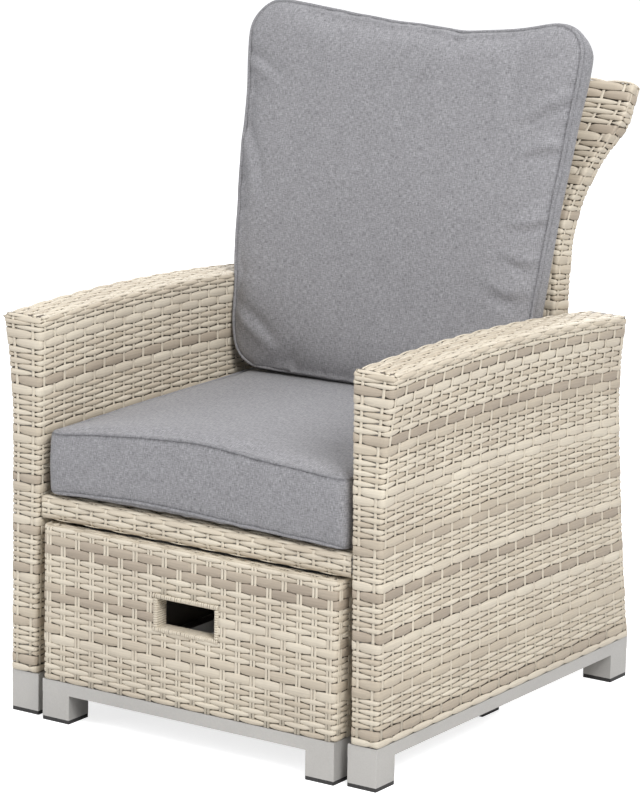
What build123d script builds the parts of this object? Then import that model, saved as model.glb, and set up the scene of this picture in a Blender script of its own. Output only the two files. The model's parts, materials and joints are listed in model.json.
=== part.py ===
from build123d import *
import os
from math import atan2, cos, degrees, hypot, radians, sin

# Garden armchair with a footstool that slides in under its seat.
# Two woven side panels stand on aluminium bases and carry a seat frame between them.
# The woven back turns on two bolts behind the seat and is held by a locking gas spring.
# Millimetres. +Z is up, +Y is to the rear. The origin lies on the floor, in the middle of the
# box around the chair. Left and right are those of someone who stands in front of it.

os.makedirs("parts", exist_ok=True)

# Shared values
tube_wall = 1.5
skin = 4                      # woven skin, strands included
skin_gap = 0.4                # between a skin and the frame inside it
seat_gap = 0.3                # between two pieces that rest on each other
pin_fit = 0.05                # radial, of a pin that turns in its bore
bolt_fit = 0.3                # radial, of a bolt in a plain hole
cut_overrun = 5               # how far a cutting shape passes the face that it cuts
skin_proud = 3                # how far the weave stands over the aluminium base

# Aluminium base of the chair
base_width = 665
base_depth = 733
base_height = 65
leg_side = 50
base_rail_height = 20
pad_height = 6
pad_plug_height = 9
pad_plug_gap = 0.3
rear_cross_depth = 40

# Woven arms
arm_foot_width = 49.5
arm_inner_lean = 9.5          # the inner face leans out by this much at the top
arm_flare = 19                # the outer face leans out by this much at the top
arm_flare_height = 192        # of the flare, down from the top of the front
arm_front_height = 622
arm_rear_drop = 25            # of the top's rear end, under its front end
arm_crown_rise = 13.5         # of the top over a straight line from front to rear
arm_rear_lean = 62
arm_rear_hollow = 8
arm_front_corner_radius = 12
arm_rear_corner_radius = 20
arm_edge_radius = 9
arm_tube_depth = 25
weave_relief = 2              # how deep the bands of thin strands lie in the skin of an arm
arm_thin_band_shares = (
    (0.048, 0.129),
    (0.183, 0.255),
    (0.309, 0.393),
    (0.443, 0.512),
    (0.56, 0.646),
    (0.695, 0.781),
    (0.835, 0.91),
)

# Seat frame
seat_rail_side = 25
seat_rail_top = 344
seat_rail_length = 603
deck_bearing = 12             # how far the deck lies on each side rail
seat_rear_rail_y = 565        # rear face of the rear cross rail, behind the arm fronts
spring_rail_y = 375           # rear face of the rail that carries the gas spring
apron_bottom = 310
apron_front_inset = 5
apron_radius = 9
front_bolt_y = 75
rear_bolt_y = 520
bolt_radius = 4
bolt_head_radius = 6.5
bolt_head_height = 5
bolt_grip = 3                 # past the wall of the arm's frame

# Back
back_bottom = 362
back_front_y = 580            # front face at its foot, behind the arm fronts
back_thickness = 48
back_straight_top = 620
back_straight_lean = 8
back_front_sweep = 112
back_front_top = 958
back_rear_sweep = 86
back_rear_top = 945
back_side_gap = 10            # to the top of each arm
back_flare = 64
back_flare_start = 700
back_flare_angle = 33
back_shoulder_radius = 60
back_edge_radius = 6
back_head_radius = 10
back_rail_depth = 36
back_rail_height = 20
back_tube_depth = 13
back_tube_width = 22
back_tube_set_in = 7.5        # behind the front face, measured level
back_mid_rail_height = 600
back_upper_rail_height = 780
lug_slot_gap = 1.5            # round the spring's lug, where it passes the skin

# Hinge of the back
hinge_plate_thickness = 4
hinge_plate_gap = 2.5         # to the side of the back
hinge_plate_width = 40
hinge_foot_height = 4
hinge_bolt_radius = 5
hinge_bolt_head_radius = 8
hinge_bolt_head_height = 4.5
hinge_bush_length = 22
hinge_bush_gap = 0.1
hinge_skin_clearance = 2.5

# Gas spring
spring_front_set_back = 25    # of its front pin, behind its rail
spring_front_drop = 14        # of its front pin, under the top of the rails
spring_lug_drop = 75          # of its rear pin, under the pivot of the back
spring_lug_set_back = 8       # of its rear pin, behind the pivot of the back
spring_eye_radius = 10
spring_eye_thickness = 12
spring_pin_radius = 4
spring_pin_head_radius = 6.5
spring_pin_head_height = 2
spring_open_clearance = 2.2   # radial, of the rear pin in the rod's eye
spring_neck_width = 9
spring_cylinder_radius = 10
spring_cylinder_wall = 2
spring_cylinder_start = 14
spring_cylinder_end = 124
spring_end_wall = 6
spring_rod_radius = 4
spring_piston_height = 8
spring_piston_place = 109     # of the piston's middle, from the front pin
ear_thickness = 4
ear_gap = 2                   # between an ear and the eye that it holds
ear_radius = 11
ear_base_thickness = 3

# Release lever
shaft_radius = 3
shaft_set_back = 9            # behind the rail of the gas spring
cam_length = 8
cam_reach = 5
blade_thickness = 4
blade_width = 16
blade_side_gap = 8            # from the seat frame's outer face to the blade
blade_top = 468
slot_length = 27
slot_side_gap = 1
grip_width = 16
grip_depth = 30
grip_height = 40
grip_radius = 5

# Footstool
footstool_side_gap = 14.5     # to the rails of the chair's base
footstool_depth = 470
footstool_proud = 10          # in front of the arms
footstool_top = 307
footstool_corner_radius = 12
footstool_rim_radius = 3
footstool_rim_width = 28
footstool_lip_height = 24
footstool_base_inset = 2
footstool_rail_width = 25
footstool_post_side = 20
footstool_rim_tube_height = 18
deck_rail_top = 260
deck_rail_height = 20
hand_hole_width = 102
hand_hole_height = 43
hand_hole_middle = 206
binding_width = 9
binding_depth = 26
binding_radius = 5

# Cushions. The shares run along each cushion, from one end to the other.
cushion_gap = 0.3
seat_cushion_side_gap = 9.5   # to the line of the seat frame's side
seat_cushion_proud = 2        # in front of the arms
seat_cushion_rear = 571
seat_cushion_side_height = 104
seat_cushion_arch = 10        # how far its top edges rise at the middle
seat_cushion_crown = 5        # of the top over its edges
seat_cushion_bulge = 6        # of the front and the rear
seat_cushion_pull = 4         # how far its long edges draw in between the corners
seat_station_shares = (-1, -0.6, 0, 0.6, 1)
back_cushion_top = 1036
back_cushion_front = 499.4      # its front edge at the foot, behind the arm fronts
back_cushion_lean = 86
back_cushion_side_inset = 4.5 # of its foot, from the side of the back
back_cushion_spread = 45      # how much wider its head is, on each side
back_cushion_thickness = 80
back_cushion_crown = 14       # of the front over its edges
back_cushion_bulge = 3        # of the sides
back_height_shares = (0, 0.13, 0.27, 0.55, 0.77, 0.94, 1)
back_spread_shares = (0, 0.13, 0.27, 0.57, 0.8, 1, 0.85)
back_lean_shares = (0, 0.06, 0.14, 0.42, 0.74, 1, 1.14)
back_thickness_shares = (1, 0.97, 0.92, 0.93, 1, 1, 0.8)
back_rest_share = 0.5        # of the seat cushion's crown, where the back cushion stands on it
footstool_pad_gap = 3
footstool_pad_edge = 38
footstool_pad_crown = 3

# Places that follow from the values above
arm_depth = base_depth + 2 * skin_proud
front = footstool_proud - (arm_depth + footstool_proud) / 2
arm_outer = base_width / 2 + skin_proud
arm_inner = arm_outer - arm_foot_width
arm_rear_height = arm_front_height - arm_rear_drop
arm_flare_start = arm_front_height - arm_flare_height
footstool_width = base_width - 2 * (leg_side + footstool_side_gap)
arm_lean_per_height = arm_inner_lean / (arm_front_height - base_height)
seat_rail_bottom = seat_rail_top - seat_rail_side


def arm_inner_face(height):
    """Distance from the middle plane to the inner face of an arm, at a height."""
    return arm_inner - arm_lean_per_height * (height - base_height)


seat_half = arm_inner_face(seat_rail_top) - seat_gap
deck_top = seat_rail_top + skin
back_half = arm_inner_face(arm_front_height) - back_side_gap
seat_cushion_half = seat_half - seat_cushion_side_gap
back_cushion_half = back_half - back_cushion_side_inset
pivot_y = front + back_front_y + back_thickness / 2
pivot_z = back_bottom + skin + skin_gap + back_rail_height / 2
sides = (("left", -1), ("right", 1))


def span(centre_sign, near, far):
    """Middle of a stretch that runs from near to far on one side of the middle plane."""
    return centre_sign * (near + far) / 2


# Base of the chair: two side rails with closed ends on legs, tied by a cross rail at the rear
base_front = front + skin_proud
base_rear = base_front + base_depth
base_half = base_width / 2
leg_height = base_height - base_rail_height - pad_height
leg_top = base_height - base_rail_height

for side, sign in sides:
    leg_x = sign * (base_half - leg_side / 2)
    for end, leg_y in (("front", base_front + leg_side / 2), ("rear", base_rear - leg_side / 2)):
        with BuildPart() as leg:
            with BuildSketch(Plane.XY.offset(pad_height)):
                with Locations((leg_x, leg_y)):
                    Rectangle(leg_side, leg_side)
                    Rectangle(leg_side - 2 * tube_wall, leg_side - 2 * tube_wall, mode=Mode.SUBTRACT)
            extrude(amount=leg_height)
            fillet(leg.edges().filter_by(Axis.Z), tube_wall / 2)
        leg.part.label = f"{side}_{end}_leg"
        export_step(leg.part, f"parts/{side}_{end}_leg.step")

    with BuildPart() as base_rail:
        with BuildSketch(Plane.XZ.offset(-base_front)):
            with Locations((leg_x, base_height - base_rail_height / 2)):
                Rectangle(leg_side, base_rail_height)
        extrude(amount=-base_depth)
        with BuildSketch(Plane.XZ.offset(-base_front - tube_wall)):
            with Locations((leg_x, base_height - base_rail_height / 2)):
                Rectangle(leg_side - 2 * tube_wall, base_rail_height - 2 * tube_wall)
        extrude(amount=-(base_depth - 2 * tube_wall), mode=Mode.SUBTRACT)
    base_rail.part.label = f"{side}_base_rail"
    export_step(base_rail.part, f"parts/{side}_base_rail.step")


def foot_pads(half_x, near_y, far_y):
    """Four glides, each a plate under a leg and a plug inside it."""
    plug_side = leg_side - 2 * (tube_wall + pad_plug_gap)
    with BuildPart() as pads:
        for pad_x in (-half_x, half_x):
            for pad_y in (near_y, far_y):
                with BuildSketch():
                    with Locations((pad_x, pad_y)):
                        RectangleRounded(leg_side, leg_side, tube_wall)
                extrude(amount=pad_height)
                with BuildSketch(Plane.XY.offset(pad_height)):
                    with Locations((pad_x, pad_y)):
                        RectangleRounded(plug_side, plug_side, tube_wall)
                extrude(amount=pad_plug_height)
    return pads.part


with BuildPart() as chair_foot_pads:
    add(foot_pads(base_half - leg_side / 2, base_front + leg_side / 2, base_rear - leg_side / 2))
chair_foot_pads.part.label = "chair_foot_pads"
export_step(chair_foot_pads.part, "parts/chair_foot_pads.step")

cross_rail_length = base_width - 2 * leg_side
with BuildPart() as rear_cross_rail:
    with BuildSketch(Plane.YZ.offset(-cross_rail_length / 2)):
        with Locations((base_rear - rear_cross_depth / 2, base_height - base_rail_height / 2)):
            Rectangle(rear_cross_depth, base_rail_height)
            Rectangle(
                rear_cross_depth - 2 * tube_wall,
                base_rail_height - 2 * tube_wall,
                mode=Mode.SUBTRACT,
            )
    extrude(amount=cross_rail_length)
rear_cross_rail.part.label = "rear_cross_rail"
export_step(rear_cross_rail.part, "parts/rear_cross_rail.step")

# Arms: a hollow woven skin over a tube frame. Its bands of thin strands lie a little deeper.
arm_top_half = arm_outer + arm_flare
bolt_places = (front + front_bolt_y, front + rear_bolt_y)
bolt_z = seat_rail_top - seat_rail_side / 2


def arm_profile(inset):
    """Side view of an arm, drawn in by inset all round."""
    rear_top = front + arm_depth - arm_rear_lean
    with BuildSketch() as profile:
        with BuildLine():
            face = Line((front, base_height), (front, arm_front_height))
            middle = Vector((front + rear_top) / 2, (arm_front_height + arm_rear_height) / 2)
            top = ThreePointArc(
                face @ 1, (middle.X, middle.Y + arm_crown_rise), (rear_top, arm_rear_height)
            )
            rear_middle_y = front + arm_depth - arm_rear_lean / 2 - arm_rear_hollow
            rear = ThreePointArc(
                top @ 1,
                (rear_middle_y, (arm_rear_height + base_height) / 2),
                (front + arm_depth, base_height),
            )
            Line(rear @ 1, face @ 0)
        make_face()
        fillet(profile.vertices().sort_by(Axis.Y)[-2], arm_rear_corner_radius)
        fillet(profile.vertices().sort_by(Axis.Y)[-1], arm_front_corner_radius)
        if inset:
            offset(amount=-inset)
    return profile.sketch_local


def arm_band_edge(share):
    """Three points of a line along the arm that is level at the foot and follows the top above."""
    near = front - cut_overrun
    far = front + arm_depth + cut_overrun
    middle_height = (arm_front_height + arm_rear_height) / 2 + arm_crown_rise
    return (
        (near, base_height + share * (arm_front_height - base_height)),
        ((near + far) / 2, base_height + share * (middle_height - base_height)),
        (far, base_height + share * (arm_rear_height - base_height)),
    )


def arm_thin_bands():
    """Side view of the bands of thin strands between the flat ones."""
    with BuildSketch() as bands:
        for low_share, high_share in arm_thin_band_shares:
            with BuildLine():
                low = ThreePointArc(*arm_band_edge(low_share))
                high = ThreePointArc(*arm_band_edge(high_share))
                Line(low @ 0, high @ 0)
                Line(low @ 1, high @ 1)
            make_face()
    return bands.sketch_local


def arm_block(sign, inset):
    """One arm as a solid, drawn in by inset all round."""
    with BuildPart() as block:
        with BuildSketch(Plane.YZ):
            add(arm_profile(inset))
        extrude(amount=arm_top_half + cut_overrun, both=True)
        with BuildSketch(Plane.XZ):
            with BuildLine():
                inner_top = arm_inner_face(arm_front_height + cut_overrun)
                inner = Line(
                    (sign * inner_top, arm_front_height + cut_overrun),
                    (sign * arm_inner, base_height),
                )
                foot = Line(inner @ 1, (sign * arm_outer, base_height))
                upright = Line(foot @ 1, (sign * arm_outer, arm_flare_start))
                flare = TangentArc(
                    upright @ 1,
                    (sign * arm_top_half, arm_front_height + cut_overrun),
                    tangent=upright % 1,
                )
                Line(flare @ 1, inner @ 0)
            make_face()
            if inset:
                offset(amount=-inset)
        extrude(amount=arm_depth, both=True, mode=Mode.INTERSECT)
        rims = block.edges().filter_by(Axis.X, reverse=True)
        floor = block.faces().sort_by(Axis.Z)[0].edges()
        fillet([edge for edge in rims if edge not in floor], arm_edge_radius - inset)
    return block.part


arm_tube_inset = skin + skin_gap
arm_tube_near = arm_inner + arm_edge_radius
arm_tube_width = arm_foot_width - 2 * arm_edge_radius

for side, sign in sides:
    with BuildPart() as arm_weave:
        add(arm_block(sign, 0))
        with BuildSketch(Plane.YZ):
            add(arm_thin_bands())
        extrude(amount=arm_top_half + cut_overrun, both=True, mode=Mode.SUBTRACT)
        add(arm_block(sign, weave_relief))
        add(arm_block(sign, skin), mode=Mode.SUBTRACT)
        hole_start = arm_inner_face(bolt_z) - cut_overrun
        with BuildSketch(Plane.YZ.offset(sign * hole_start)):
            with Locations(*[(y, bolt_z) for y in bolt_places]):
                Circle(bolt_radius + bolt_fit)
        extrude(amount=sign * (skin + 2 * cut_overrun), mode=Mode.SUBTRACT)
    arm_weave.part.label = f"{side}_arm_weave"
    export_step(arm_weave.part, f"parts/{side}_arm_weave.step")

    with BuildSketch() as windows:
        add(arm_profile(arm_tube_inset + arm_tube_depth))
        with Locations(*[(y, arm_front_height / 2) for y in bolt_places]):
            Rectangle(arm_tube_depth, arm_front_height, mode=Mode.SUBTRACT)
    with BuildPart() as arm_frame:
        with BuildSketch(Plane.YZ.offset(sign * arm_tube_near)):
            add(arm_profile(arm_tube_inset))
            add(windows.sketch_local, mode=Mode.SUBTRACT)
        extrude(amount=sign * arm_tube_width)
        with BuildSketch(Plane.YZ.offset(sign * (arm_tube_near + tube_wall))):
            add(arm_profile(arm_tube_inset))
            add(windows.sketch_local, mode=Mode.SUBTRACT)
            offset(amount=-tube_wall)
        extrude(amount=sign * (arm_tube_width - 2 * tube_wall), mode=Mode.SUBTRACT)
        with BuildSketch(Plane.YZ.offset(sign * (arm_tube_near - cut_overrun))):
            with Locations(*[(y, bolt_z) for y in bolt_places]):
                Circle(bolt_radius)
        extrude(amount=sign * (cut_overrun + tube_wall), mode=Mode.SUBTRACT)
    arm_frame.part.label = f"{side}_arm_frame"
    export_step(arm_frame.part, f"parts/{side}_arm_frame.step")

# Seat frame: two side rails, three cross rails, a woven deck and a woven apron
apron_depth = skin + skin_gap + seat_rail_side
apron_front = front + apron_front_inset
apron_rear = apron_front + apron_depth
side_rail_inner = seat_half - seat_rail_side
seat_rail_z = seat_rail_top - seat_rail_side / 2
shaft_y = front + spring_rail_y + shaft_set_back
shaft_z = seat_rail_top - spring_front_drop + shaft_radius
blade_near = seat_half - blade_side_gap

for side, sign in sides:
    with BuildPart() as side_rail:
        with BuildSketch(Plane.XZ.offset(-apron_rear)):
            with Locations((span(sign, side_rail_inner, seat_half), seat_rail_z)):
                Rectangle(seat_rail_side, seat_rail_side)
                Rectangle(
                    seat_rail_side - 2 * tube_wall, seat_rail_side - 2 * tube_wall, mode=Mode.SUBTRACT
                )
        extrude(amount=-seat_rail_length)
        with BuildSketch(Plane.YZ.offset(sign * (side_rail_inner - cut_overrun))):
            with Locations(*[(y, bolt_z) for y in bolt_places]):
                Circle(bolt_radius + bolt_fit)
        extrude(amount=sign * (seat_rail_side + 2 * cut_overrun), mode=Mode.SUBTRACT)
        if sign > 0:
            with BuildSketch(Plane.YZ.offset(side_rail_inner - cut_overrun)):
                with Locations((shaft_y, shaft_z)):
                    Circle(shaft_radius + pin_fit)
            extrude(amount=2 * cut_overrun, mode=Mode.SUBTRACT)
            with BuildSketch(Plane.XY.offset(seat_rail_top - seat_rail_side / 2)):
                with Locations((blade_near + blade_thickness / 2, shaft_y)):
                    Rectangle(blade_thickness + 2 * slot_side_gap, slot_length)
            extrude(amount=seat_rail_side, mode=Mode.SUBTRACT)
    side_rail.part.label = f"seat_{side}_rail"
    export_step(side_rail.part, f"parts/seat_{side}_rail.step")

cross_rails = (
    ("seat_front_rail", apron_rear, seat_half),
    ("seat_spring_rail", front + spring_rail_y, side_rail_inner),
    ("seat_rear_rail", front + seat_rear_rail_y, side_rail_inner),
)
for name, rear_face, half_length in cross_rails:
    with BuildPart() as cross_rail:
        with BuildSketch(Plane.YZ.offset(-half_length)):
            with Locations((rear_face - seat_rail_side / 2, seat_rail_z)):
                Rectangle(seat_rail_side, seat_rail_side)
                Rectangle(
                    seat_rail_side - 2 * tube_wall, seat_rail_side - 2 * tube_wall, mode=Mode.SUBTRACT
                )
        extrude(amount=2 * half_length)
    cross_rail.part.label = name
    export_step(cross_rail.part, f"parts/{name}.step")

deck_half = side_rail_inner + deck_bearing
deck_depth = front + seat_rear_rail_y - apron_rear
with BuildPart() as seat_deck_weave:
    with BuildSketch(Plane.XY.offset(seat_rail_top)):
        with Locations((0, apron_rear + deck_depth / 2)):
            Rectangle(2 * deck_half, deck_depth)
    extrude(amount=skin)
seat_deck_weave.part.label = "seat_deck_weave"
export_step(seat_deck_weave.part, "parts/seat_deck_weave.step")

# The apron is a woven channel over the front rail, open to the rear
apron_middle = (apron_bottom + deck_top) / 2
apron_height = deck_top - apron_bottom
with BuildPart() as seat_apron_weave:
    with BuildSketch(Plane.YZ.offset(-seat_half)) as apron_section:
        with Locations((apron_front + apron_depth / 2, apron_middle)):
            Rectangle(apron_depth, apron_height)
        fillet(apron_section.vertices().group_by(Axis.X)[0], apron_radius)
        with Locations((apron_rear - (apron_depth - skin) / 2, apron_middle)):
            Rectangle(apron_depth - skin, apron_height - 2 * skin, mode=Mode.SUBTRACT)
    extrude(amount=2 * seat_half)
seat_apron_weave.part.label = "seat_apron_weave"
export_step(seat_apron_weave.part, "parts/seat_apron_weave.step")

# Four bolts hold the seat frame to the frames inside the arms
bolt_length = arm_tube_near + tube_wall + bolt_grip - side_rail_inner
with BuildPart() as seat_bolts:
    for side, sign in sides:
        with BuildSketch(Plane.YZ.offset(sign * side_rail_inner)):
            with Locations(*[(y, bolt_z) for y in bolt_places]):
                Circle(bolt_radius)
        extrude(amount=sign * bolt_length)
        with BuildSketch(Plane.YZ.offset(sign * side_rail_inner)):
            with Locations(*[(y, bolt_z) for y in bolt_places]):
                RegularPolygon(bolt_head_radius, 6)
        extrude(amount=-sign * bolt_head_height)
seat_bolts.part.label = "seat_bolts"
export_step(seat_bolts.part, "parts/seat_bolts.step")


# Back: a hollow woven skin over a frame of flat tubes, flared at the head
def back_profile(inset):
    """Side view of the back, drawn in by inset all round."""
    low_front = front + back_front_y
    low_rear = low_front + back_thickness
    with BuildSketch() as profile:
        with BuildLine():
            face = Line(
                (low_front, back_bottom), (low_front + back_straight_lean, back_straight_top)
            )
            sweep = TangentArc(
                face @ 1,
                (low_front + back_straight_lean + back_front_sweep, back_front_top),
                tangent=face % 1,
            )
            head = Line(
                sweep @ 1, (low_rear + back_straight_lean + back_rear_sweep, back_rear_top)
            )
            rear = Line(
                (low_rear, back_bottom), (low_rear + back_straight_lean, back_straight_top)
            )
            TangentArc(rear @ 1, head @ 1, tangent=rear % 1)
            Line(rear @ 0, face @ 0)
        make_face()
        fillet(profile.vertices().sort_by(Axis.Y)[-2:], back_head_radius)
        if inset:
            offset(amount=-inset)
    return profile.sketch_local


def back_outline(inset):
    """Front view of the back, drawn in by inset all round; it passes the head."""
    flare_radius = back_flare / (1 - cos(radians(back_flare_angle))) - back_shoulder_radius
    with BuildSketch() as outline:
        with BuildLine():
            upright = Line((back_half, back_bottom), (back_half, back_flare_start))
            flare = JernArc(upright @ 1, upright % 1, flare_radius, -back_flare_angle)
            shoulder = JernArc(flare @ 1, flare % 1, back_shoulder_radius, back_flare_angle)
            ear = Line(shoulder @ 1, (back_half + back_flare, back_front_top + back_thickness))
            mirror(about=Plane.YZ)
            Line(ear @ 1, (-back_half - back_flare, back_front_top + back_thickness))
            Line(upright @ 0, (-back_half, back_bottom))
        make_face()
        if inset:
            offset(amount=-inset)
    return outline.sketch_local


def back_block(inset):
    """The whole back as a solid, drawn in by inset all round."""
    with BuildPart() as block:
        with BuildSketch(Plane.YZ):
            add(back_profile(inset))
        extrude(amount=back_half + back_flare + cut_overrun, both=True)
        with BuildSketch(Plane.XZ):
            add(back_outline(inset))
        extrude(amount=arm_depth, both=True, mode=Mode.INTERSECT)
        rims = block.edges().filter_by(Axis.X, reverse=True)
        floor = block.faces().sort_by(Axis.Z)[0].edges()
        fillet([edge for edge in rims if edge not in floor], back_edge_radius - inset)
    return block.part


def behind_front(shift):
    """Side view of all that lies behind the front face of the back, moved to the rear."""
    low_front = front + back_front_y + shift
    far = low_front + arm_depth
    with BuildSketch() as region:
        with BuildLine():
            face = Line(
                (low_front, back_bottom), (low_front + back_straight_lean, back_straight_top)
            )
            sweep = TangentArc(
                face @ 1,
                (low_front + back_straight_lean + back_front_sweep, back_front_top),
                tangent=face % 1,
            )
            Polyline(sweep @ 1, (far, back_front_top), (far, back_bottom), face @ 0)
        make_face()
    return region.sketch_local


back_rail_half = back_half - skin - skin_gap
lug_y = pivot_y + spring_lug_set_back
lug_z = pivot_z - spring_lug_drop
ear_near = spring_eye_thickness / 2 + ear_gap
ear_far = ear_near + ear_thickness

with BuildPart() as back_weave:
    add(back_block(0))
    add(back_block(skin), mode=Mode.SUBTRACT)
    with BuildSketch(Plane.YZ):
        with Locations((pivot_y, pivot_z)):
            Circle(hinge_bolt_radius + hinge_skin_clearance)
    extrude(amount=back_half + cut_overrun, both=True, mode=Mode.SUBTRACT)
    with BuildSketch(Plane.XY.offset(back_bottom - cut_overrun)):
        with Locations((0, lug_y)):
            Rectangle(2 * (ear_far + lug_slot_gap), 2 * ear_radius + lug_slot_gap)
    extrude(amount=skin + cut_overrun, mode=Mode.SUBTRACT)
back_weave.part.label = "back_weave"
export_step(back_weave.part, "parts/back_weave.step")

back_frame_inset = skin + skin_gap
back_window_half = back_half - back_edge_radius - back_tube_width
with BuildSketch() as back_windows:
    add(back_outline(back_edge_radius + back_tube_width))
    with Locations((0, pivot_z)):
        Rectangle(2 * back_window_half, 2 * back_rail_height)
    with Locations((0, back_mid_rail_height), (0, back_upper_rail_height)):
        Rectangle(2 * back_half, back_tube_width, mode=Mode.SUBTRACT)
with BuildPart() as back_frame:
    with BuildSketch(Plane.YZ):
        add(back_profile(back_frame_inset))
        add(behind_front(back_tube_set_in), mode=Mode.INTERSECT)
        add(behind_front(back_tube_set_in + back_tube_depth), mode=Mode.SUBTRACT)
    extrude(amount=back_half + back_flare, both=True)
    with BuildSketch(Plane.XZ):
        add(back_outline(back_edge_radius))
        add(back_windows.sketch_local, mode=Mode.SUBTRACT)
        with Locations((0, pivot_z)):
            Rectangle(2 * back_half, back_rail_height, mode=Mode.SUBTRACT)
    extrude(amount=arm_depth, both=True, mode=Mode.INTERSECT)
back_frame.part.label = "back_frame"
export_step(back_frame.part, "parts/back_frame.step")

bush_depth = back_rail_depth - 2 * tube_wall - 2 * hinge_bush_gap
bush_height = back_rail_height - 2 * tube_wall - 2 * hinge_bush_gap
with BuildPart() as back_bottom_rail:
    with BuildSketch(Plane.YZ):
        with Locations((pivot_y, pivot_z)):
            Rectangle(back_rail_depth, back_rail_height)
            Rectangle(
                back_rail_depth - 2 * tube_wall, back_rail_height - 2 * tube_wall, mode=Mode.SUBTRACT
            )
    extrude(amount=back_rail_half, both=True)
back_bottom_rail.part.label = "back_bottom_rail"
export_step(back_bottom_rail.part, "parts/back_bottom_rail.step")

with BuildPart() as hinge_bushes:
    for side, sign in sides:
        with BuildSketch(Plane.YZ.offset(sign * back_rail_half)):
            with Locations((pivot_y, pivot_z)):
                Rectangle(bush_depth, bush_height)
                Circle(hinge_bolt_radius + pin_fit, mode=Mode.SUBTRACT)
        extrude(amount=-sign * hinge_bush_length)
hinge_bushes.part.label = "hinge_bushes"
export_step(hinge_bushes.part, "parts/hinge_bushes.step")

# Hinge of the back: a plate on each side rail and a shoulder bolt through it
plate_near = back_half + hinge_plate_gap
plate_far = plate_near + hinge_plate_thickness
for side, sign in sides:
    with BuildPart() as hinge_plate:
        with BuildSketch(Plane.YZ.offset(sign * plate_near)) as plate_section:
            with Locations((pivot_y, (seat_rail_top + pivot_z) / 2)):
                Rectangle(hinge_plate_width, pivot_z - seat_rail_top)
            with Locations((pivot_y, pivot_z)):
                Circle(hinge_plate_width / 2)
                Circle(hinge_bolt_radius + pin_fit, mode=Mode.SUBTRACT)
        extrude(amount=sign * hinge_plate_thickness)
        with BuildSketch(Plane.XY.offset(seat_rail_top)):
            with Locations((span(sign, plate_near, seat_half), pivot_y)):
                Rectangle(seat_half - plate_near, hinge_plate_width)
        extrude(amount=hinge_foot_height)
    hinge_plate.part.label = f"{side}_hinge_plate"
    export_step(hinge_plate.part, f"parts/{side}_hinge_plate.step")

with BuildPart() as hinge_bolts:
    for side, sign in sides:
        with BuildSketch(Plane.YZ.offset(sign * plate_far)):
            with Locations((pivot_y, pivot_z)):
                Circle(hinge_bolt_radius)
        extrude(amount=-sign * (plate_far - back_rail_half + hinge_bush_length))
        with BuildSketch(Plane.YZ.offset(sign * plate_far)):
            with Locations((pivot_y, pivot_z)):
                RegularPolygon(hinge_bolt_head_radius, 6)
        extrude(amount=sign * hinge_bolt_head_height)
hinge_bolts.part.label = "hinge_bolts"
export_step(hinge_bolts.part, "parts/hinge_bolts.step")

# Gas spring: it runs from a bracket under the seat to a lug under the back
pin_y = front + spring_rail_y + spring_front_set_back
pin_z = seat_rail_top - spring_front_drop
spring_length = hypot(lug_y - pin_y, pin_z - lug_z)
spring_dip = atan2(pin_z - lug_z, lug_y - pin_y)
spring_plane = Plane(
    origin=(0, pin_y, pin_z), x_dir=(1, 0, 0), z_dir=(0, cos(spring_dip), -sin(spring_dip))
)
pin_reach = ear_far + spring_pin_head_height


def spring_eye(eye_y, eye_z, neck, bore):
    """A flat eye round a pin, with a neck that runs along the spring."""
    with BuildPart() as eye:
        with BuildSketch(Plane.YZ.offset(-spring_eye_thickness / 2)):
            with Locations(Location((eye_y, eye_z, 0), (0, 0, -degrees(spring_dip)))):
                Circle(spring_eye_radius)
                if neck:
                    Rectangle(neck, spring_neck_width, align=(Align.MIN, Align.CENTER))
                Circle(bore, mode=Mode.SUBTRACT)
        extrude(amount=spring_eye_thickness)
    return eye.part


with BuildPart() as gas_spring_cylinder:
    with BuildSketch(spring_plane.offset(spring_cylinder_start)):
        Circle(spring_cylinder_radius)
    extrude(amount=spring_cylinder_end - spring_cylinder_start)
    bore_start = spring_cylinder_start + spring_end_wall
    bore_end = spring_cylinder_end - spring_end_wall
    with BuildSketch(spring_plane.offset(bore_start)):
        Circle(spring_cylinder_radius - spring_cylinder_wall)
    extrude(amount=bore_end - bore_start, mode=Mode.SUBTRACT)
    with BuildSketch(spring_plane.offset(bore_end)):
        Circle(spring_rod_radius + pin_fit)
    extrude(amount=spring_end_wall + cut_overrun, mode=Mode.SUBTRACT)
    add(spring_eye(pin_y, pin_z, bore_start, spring_pin_radius + pin_fit))
gas_spring_cylinder.part.label = "gas_spring_cylinder"
export_step(gas_spring_cylinder.part, "parts/gas_spring_cylinder.step")

with BuildPart() as gas_spring_rod:
    rod_start = spring_piston_place - spring_piston_height / 2
    rod_bore = spring_pin_radius + spring_open_clearance
    with BuildSketch(spring_plane.offset(rod_start)):
        Circle(spring_cylinder_radius - spring_cylinder_wall - pin_fit)
    extrude(amount=spring_piston_height)
    with BuildSketch(spring_plane.offset(rod_start)):
        Circle(spring_rod_radius)
    extrude(amount=spring_length - rod_start - (spring_eye_radius + rod_bore) / 2)
    add(spring_eye(lug_y, lug_z, 0, rod_bore))
gas_spring_rod.part.label = "gas_spring_rod"
export_step(gas_spring_rod.part, "parts/gas_spring_rod.step")

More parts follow.
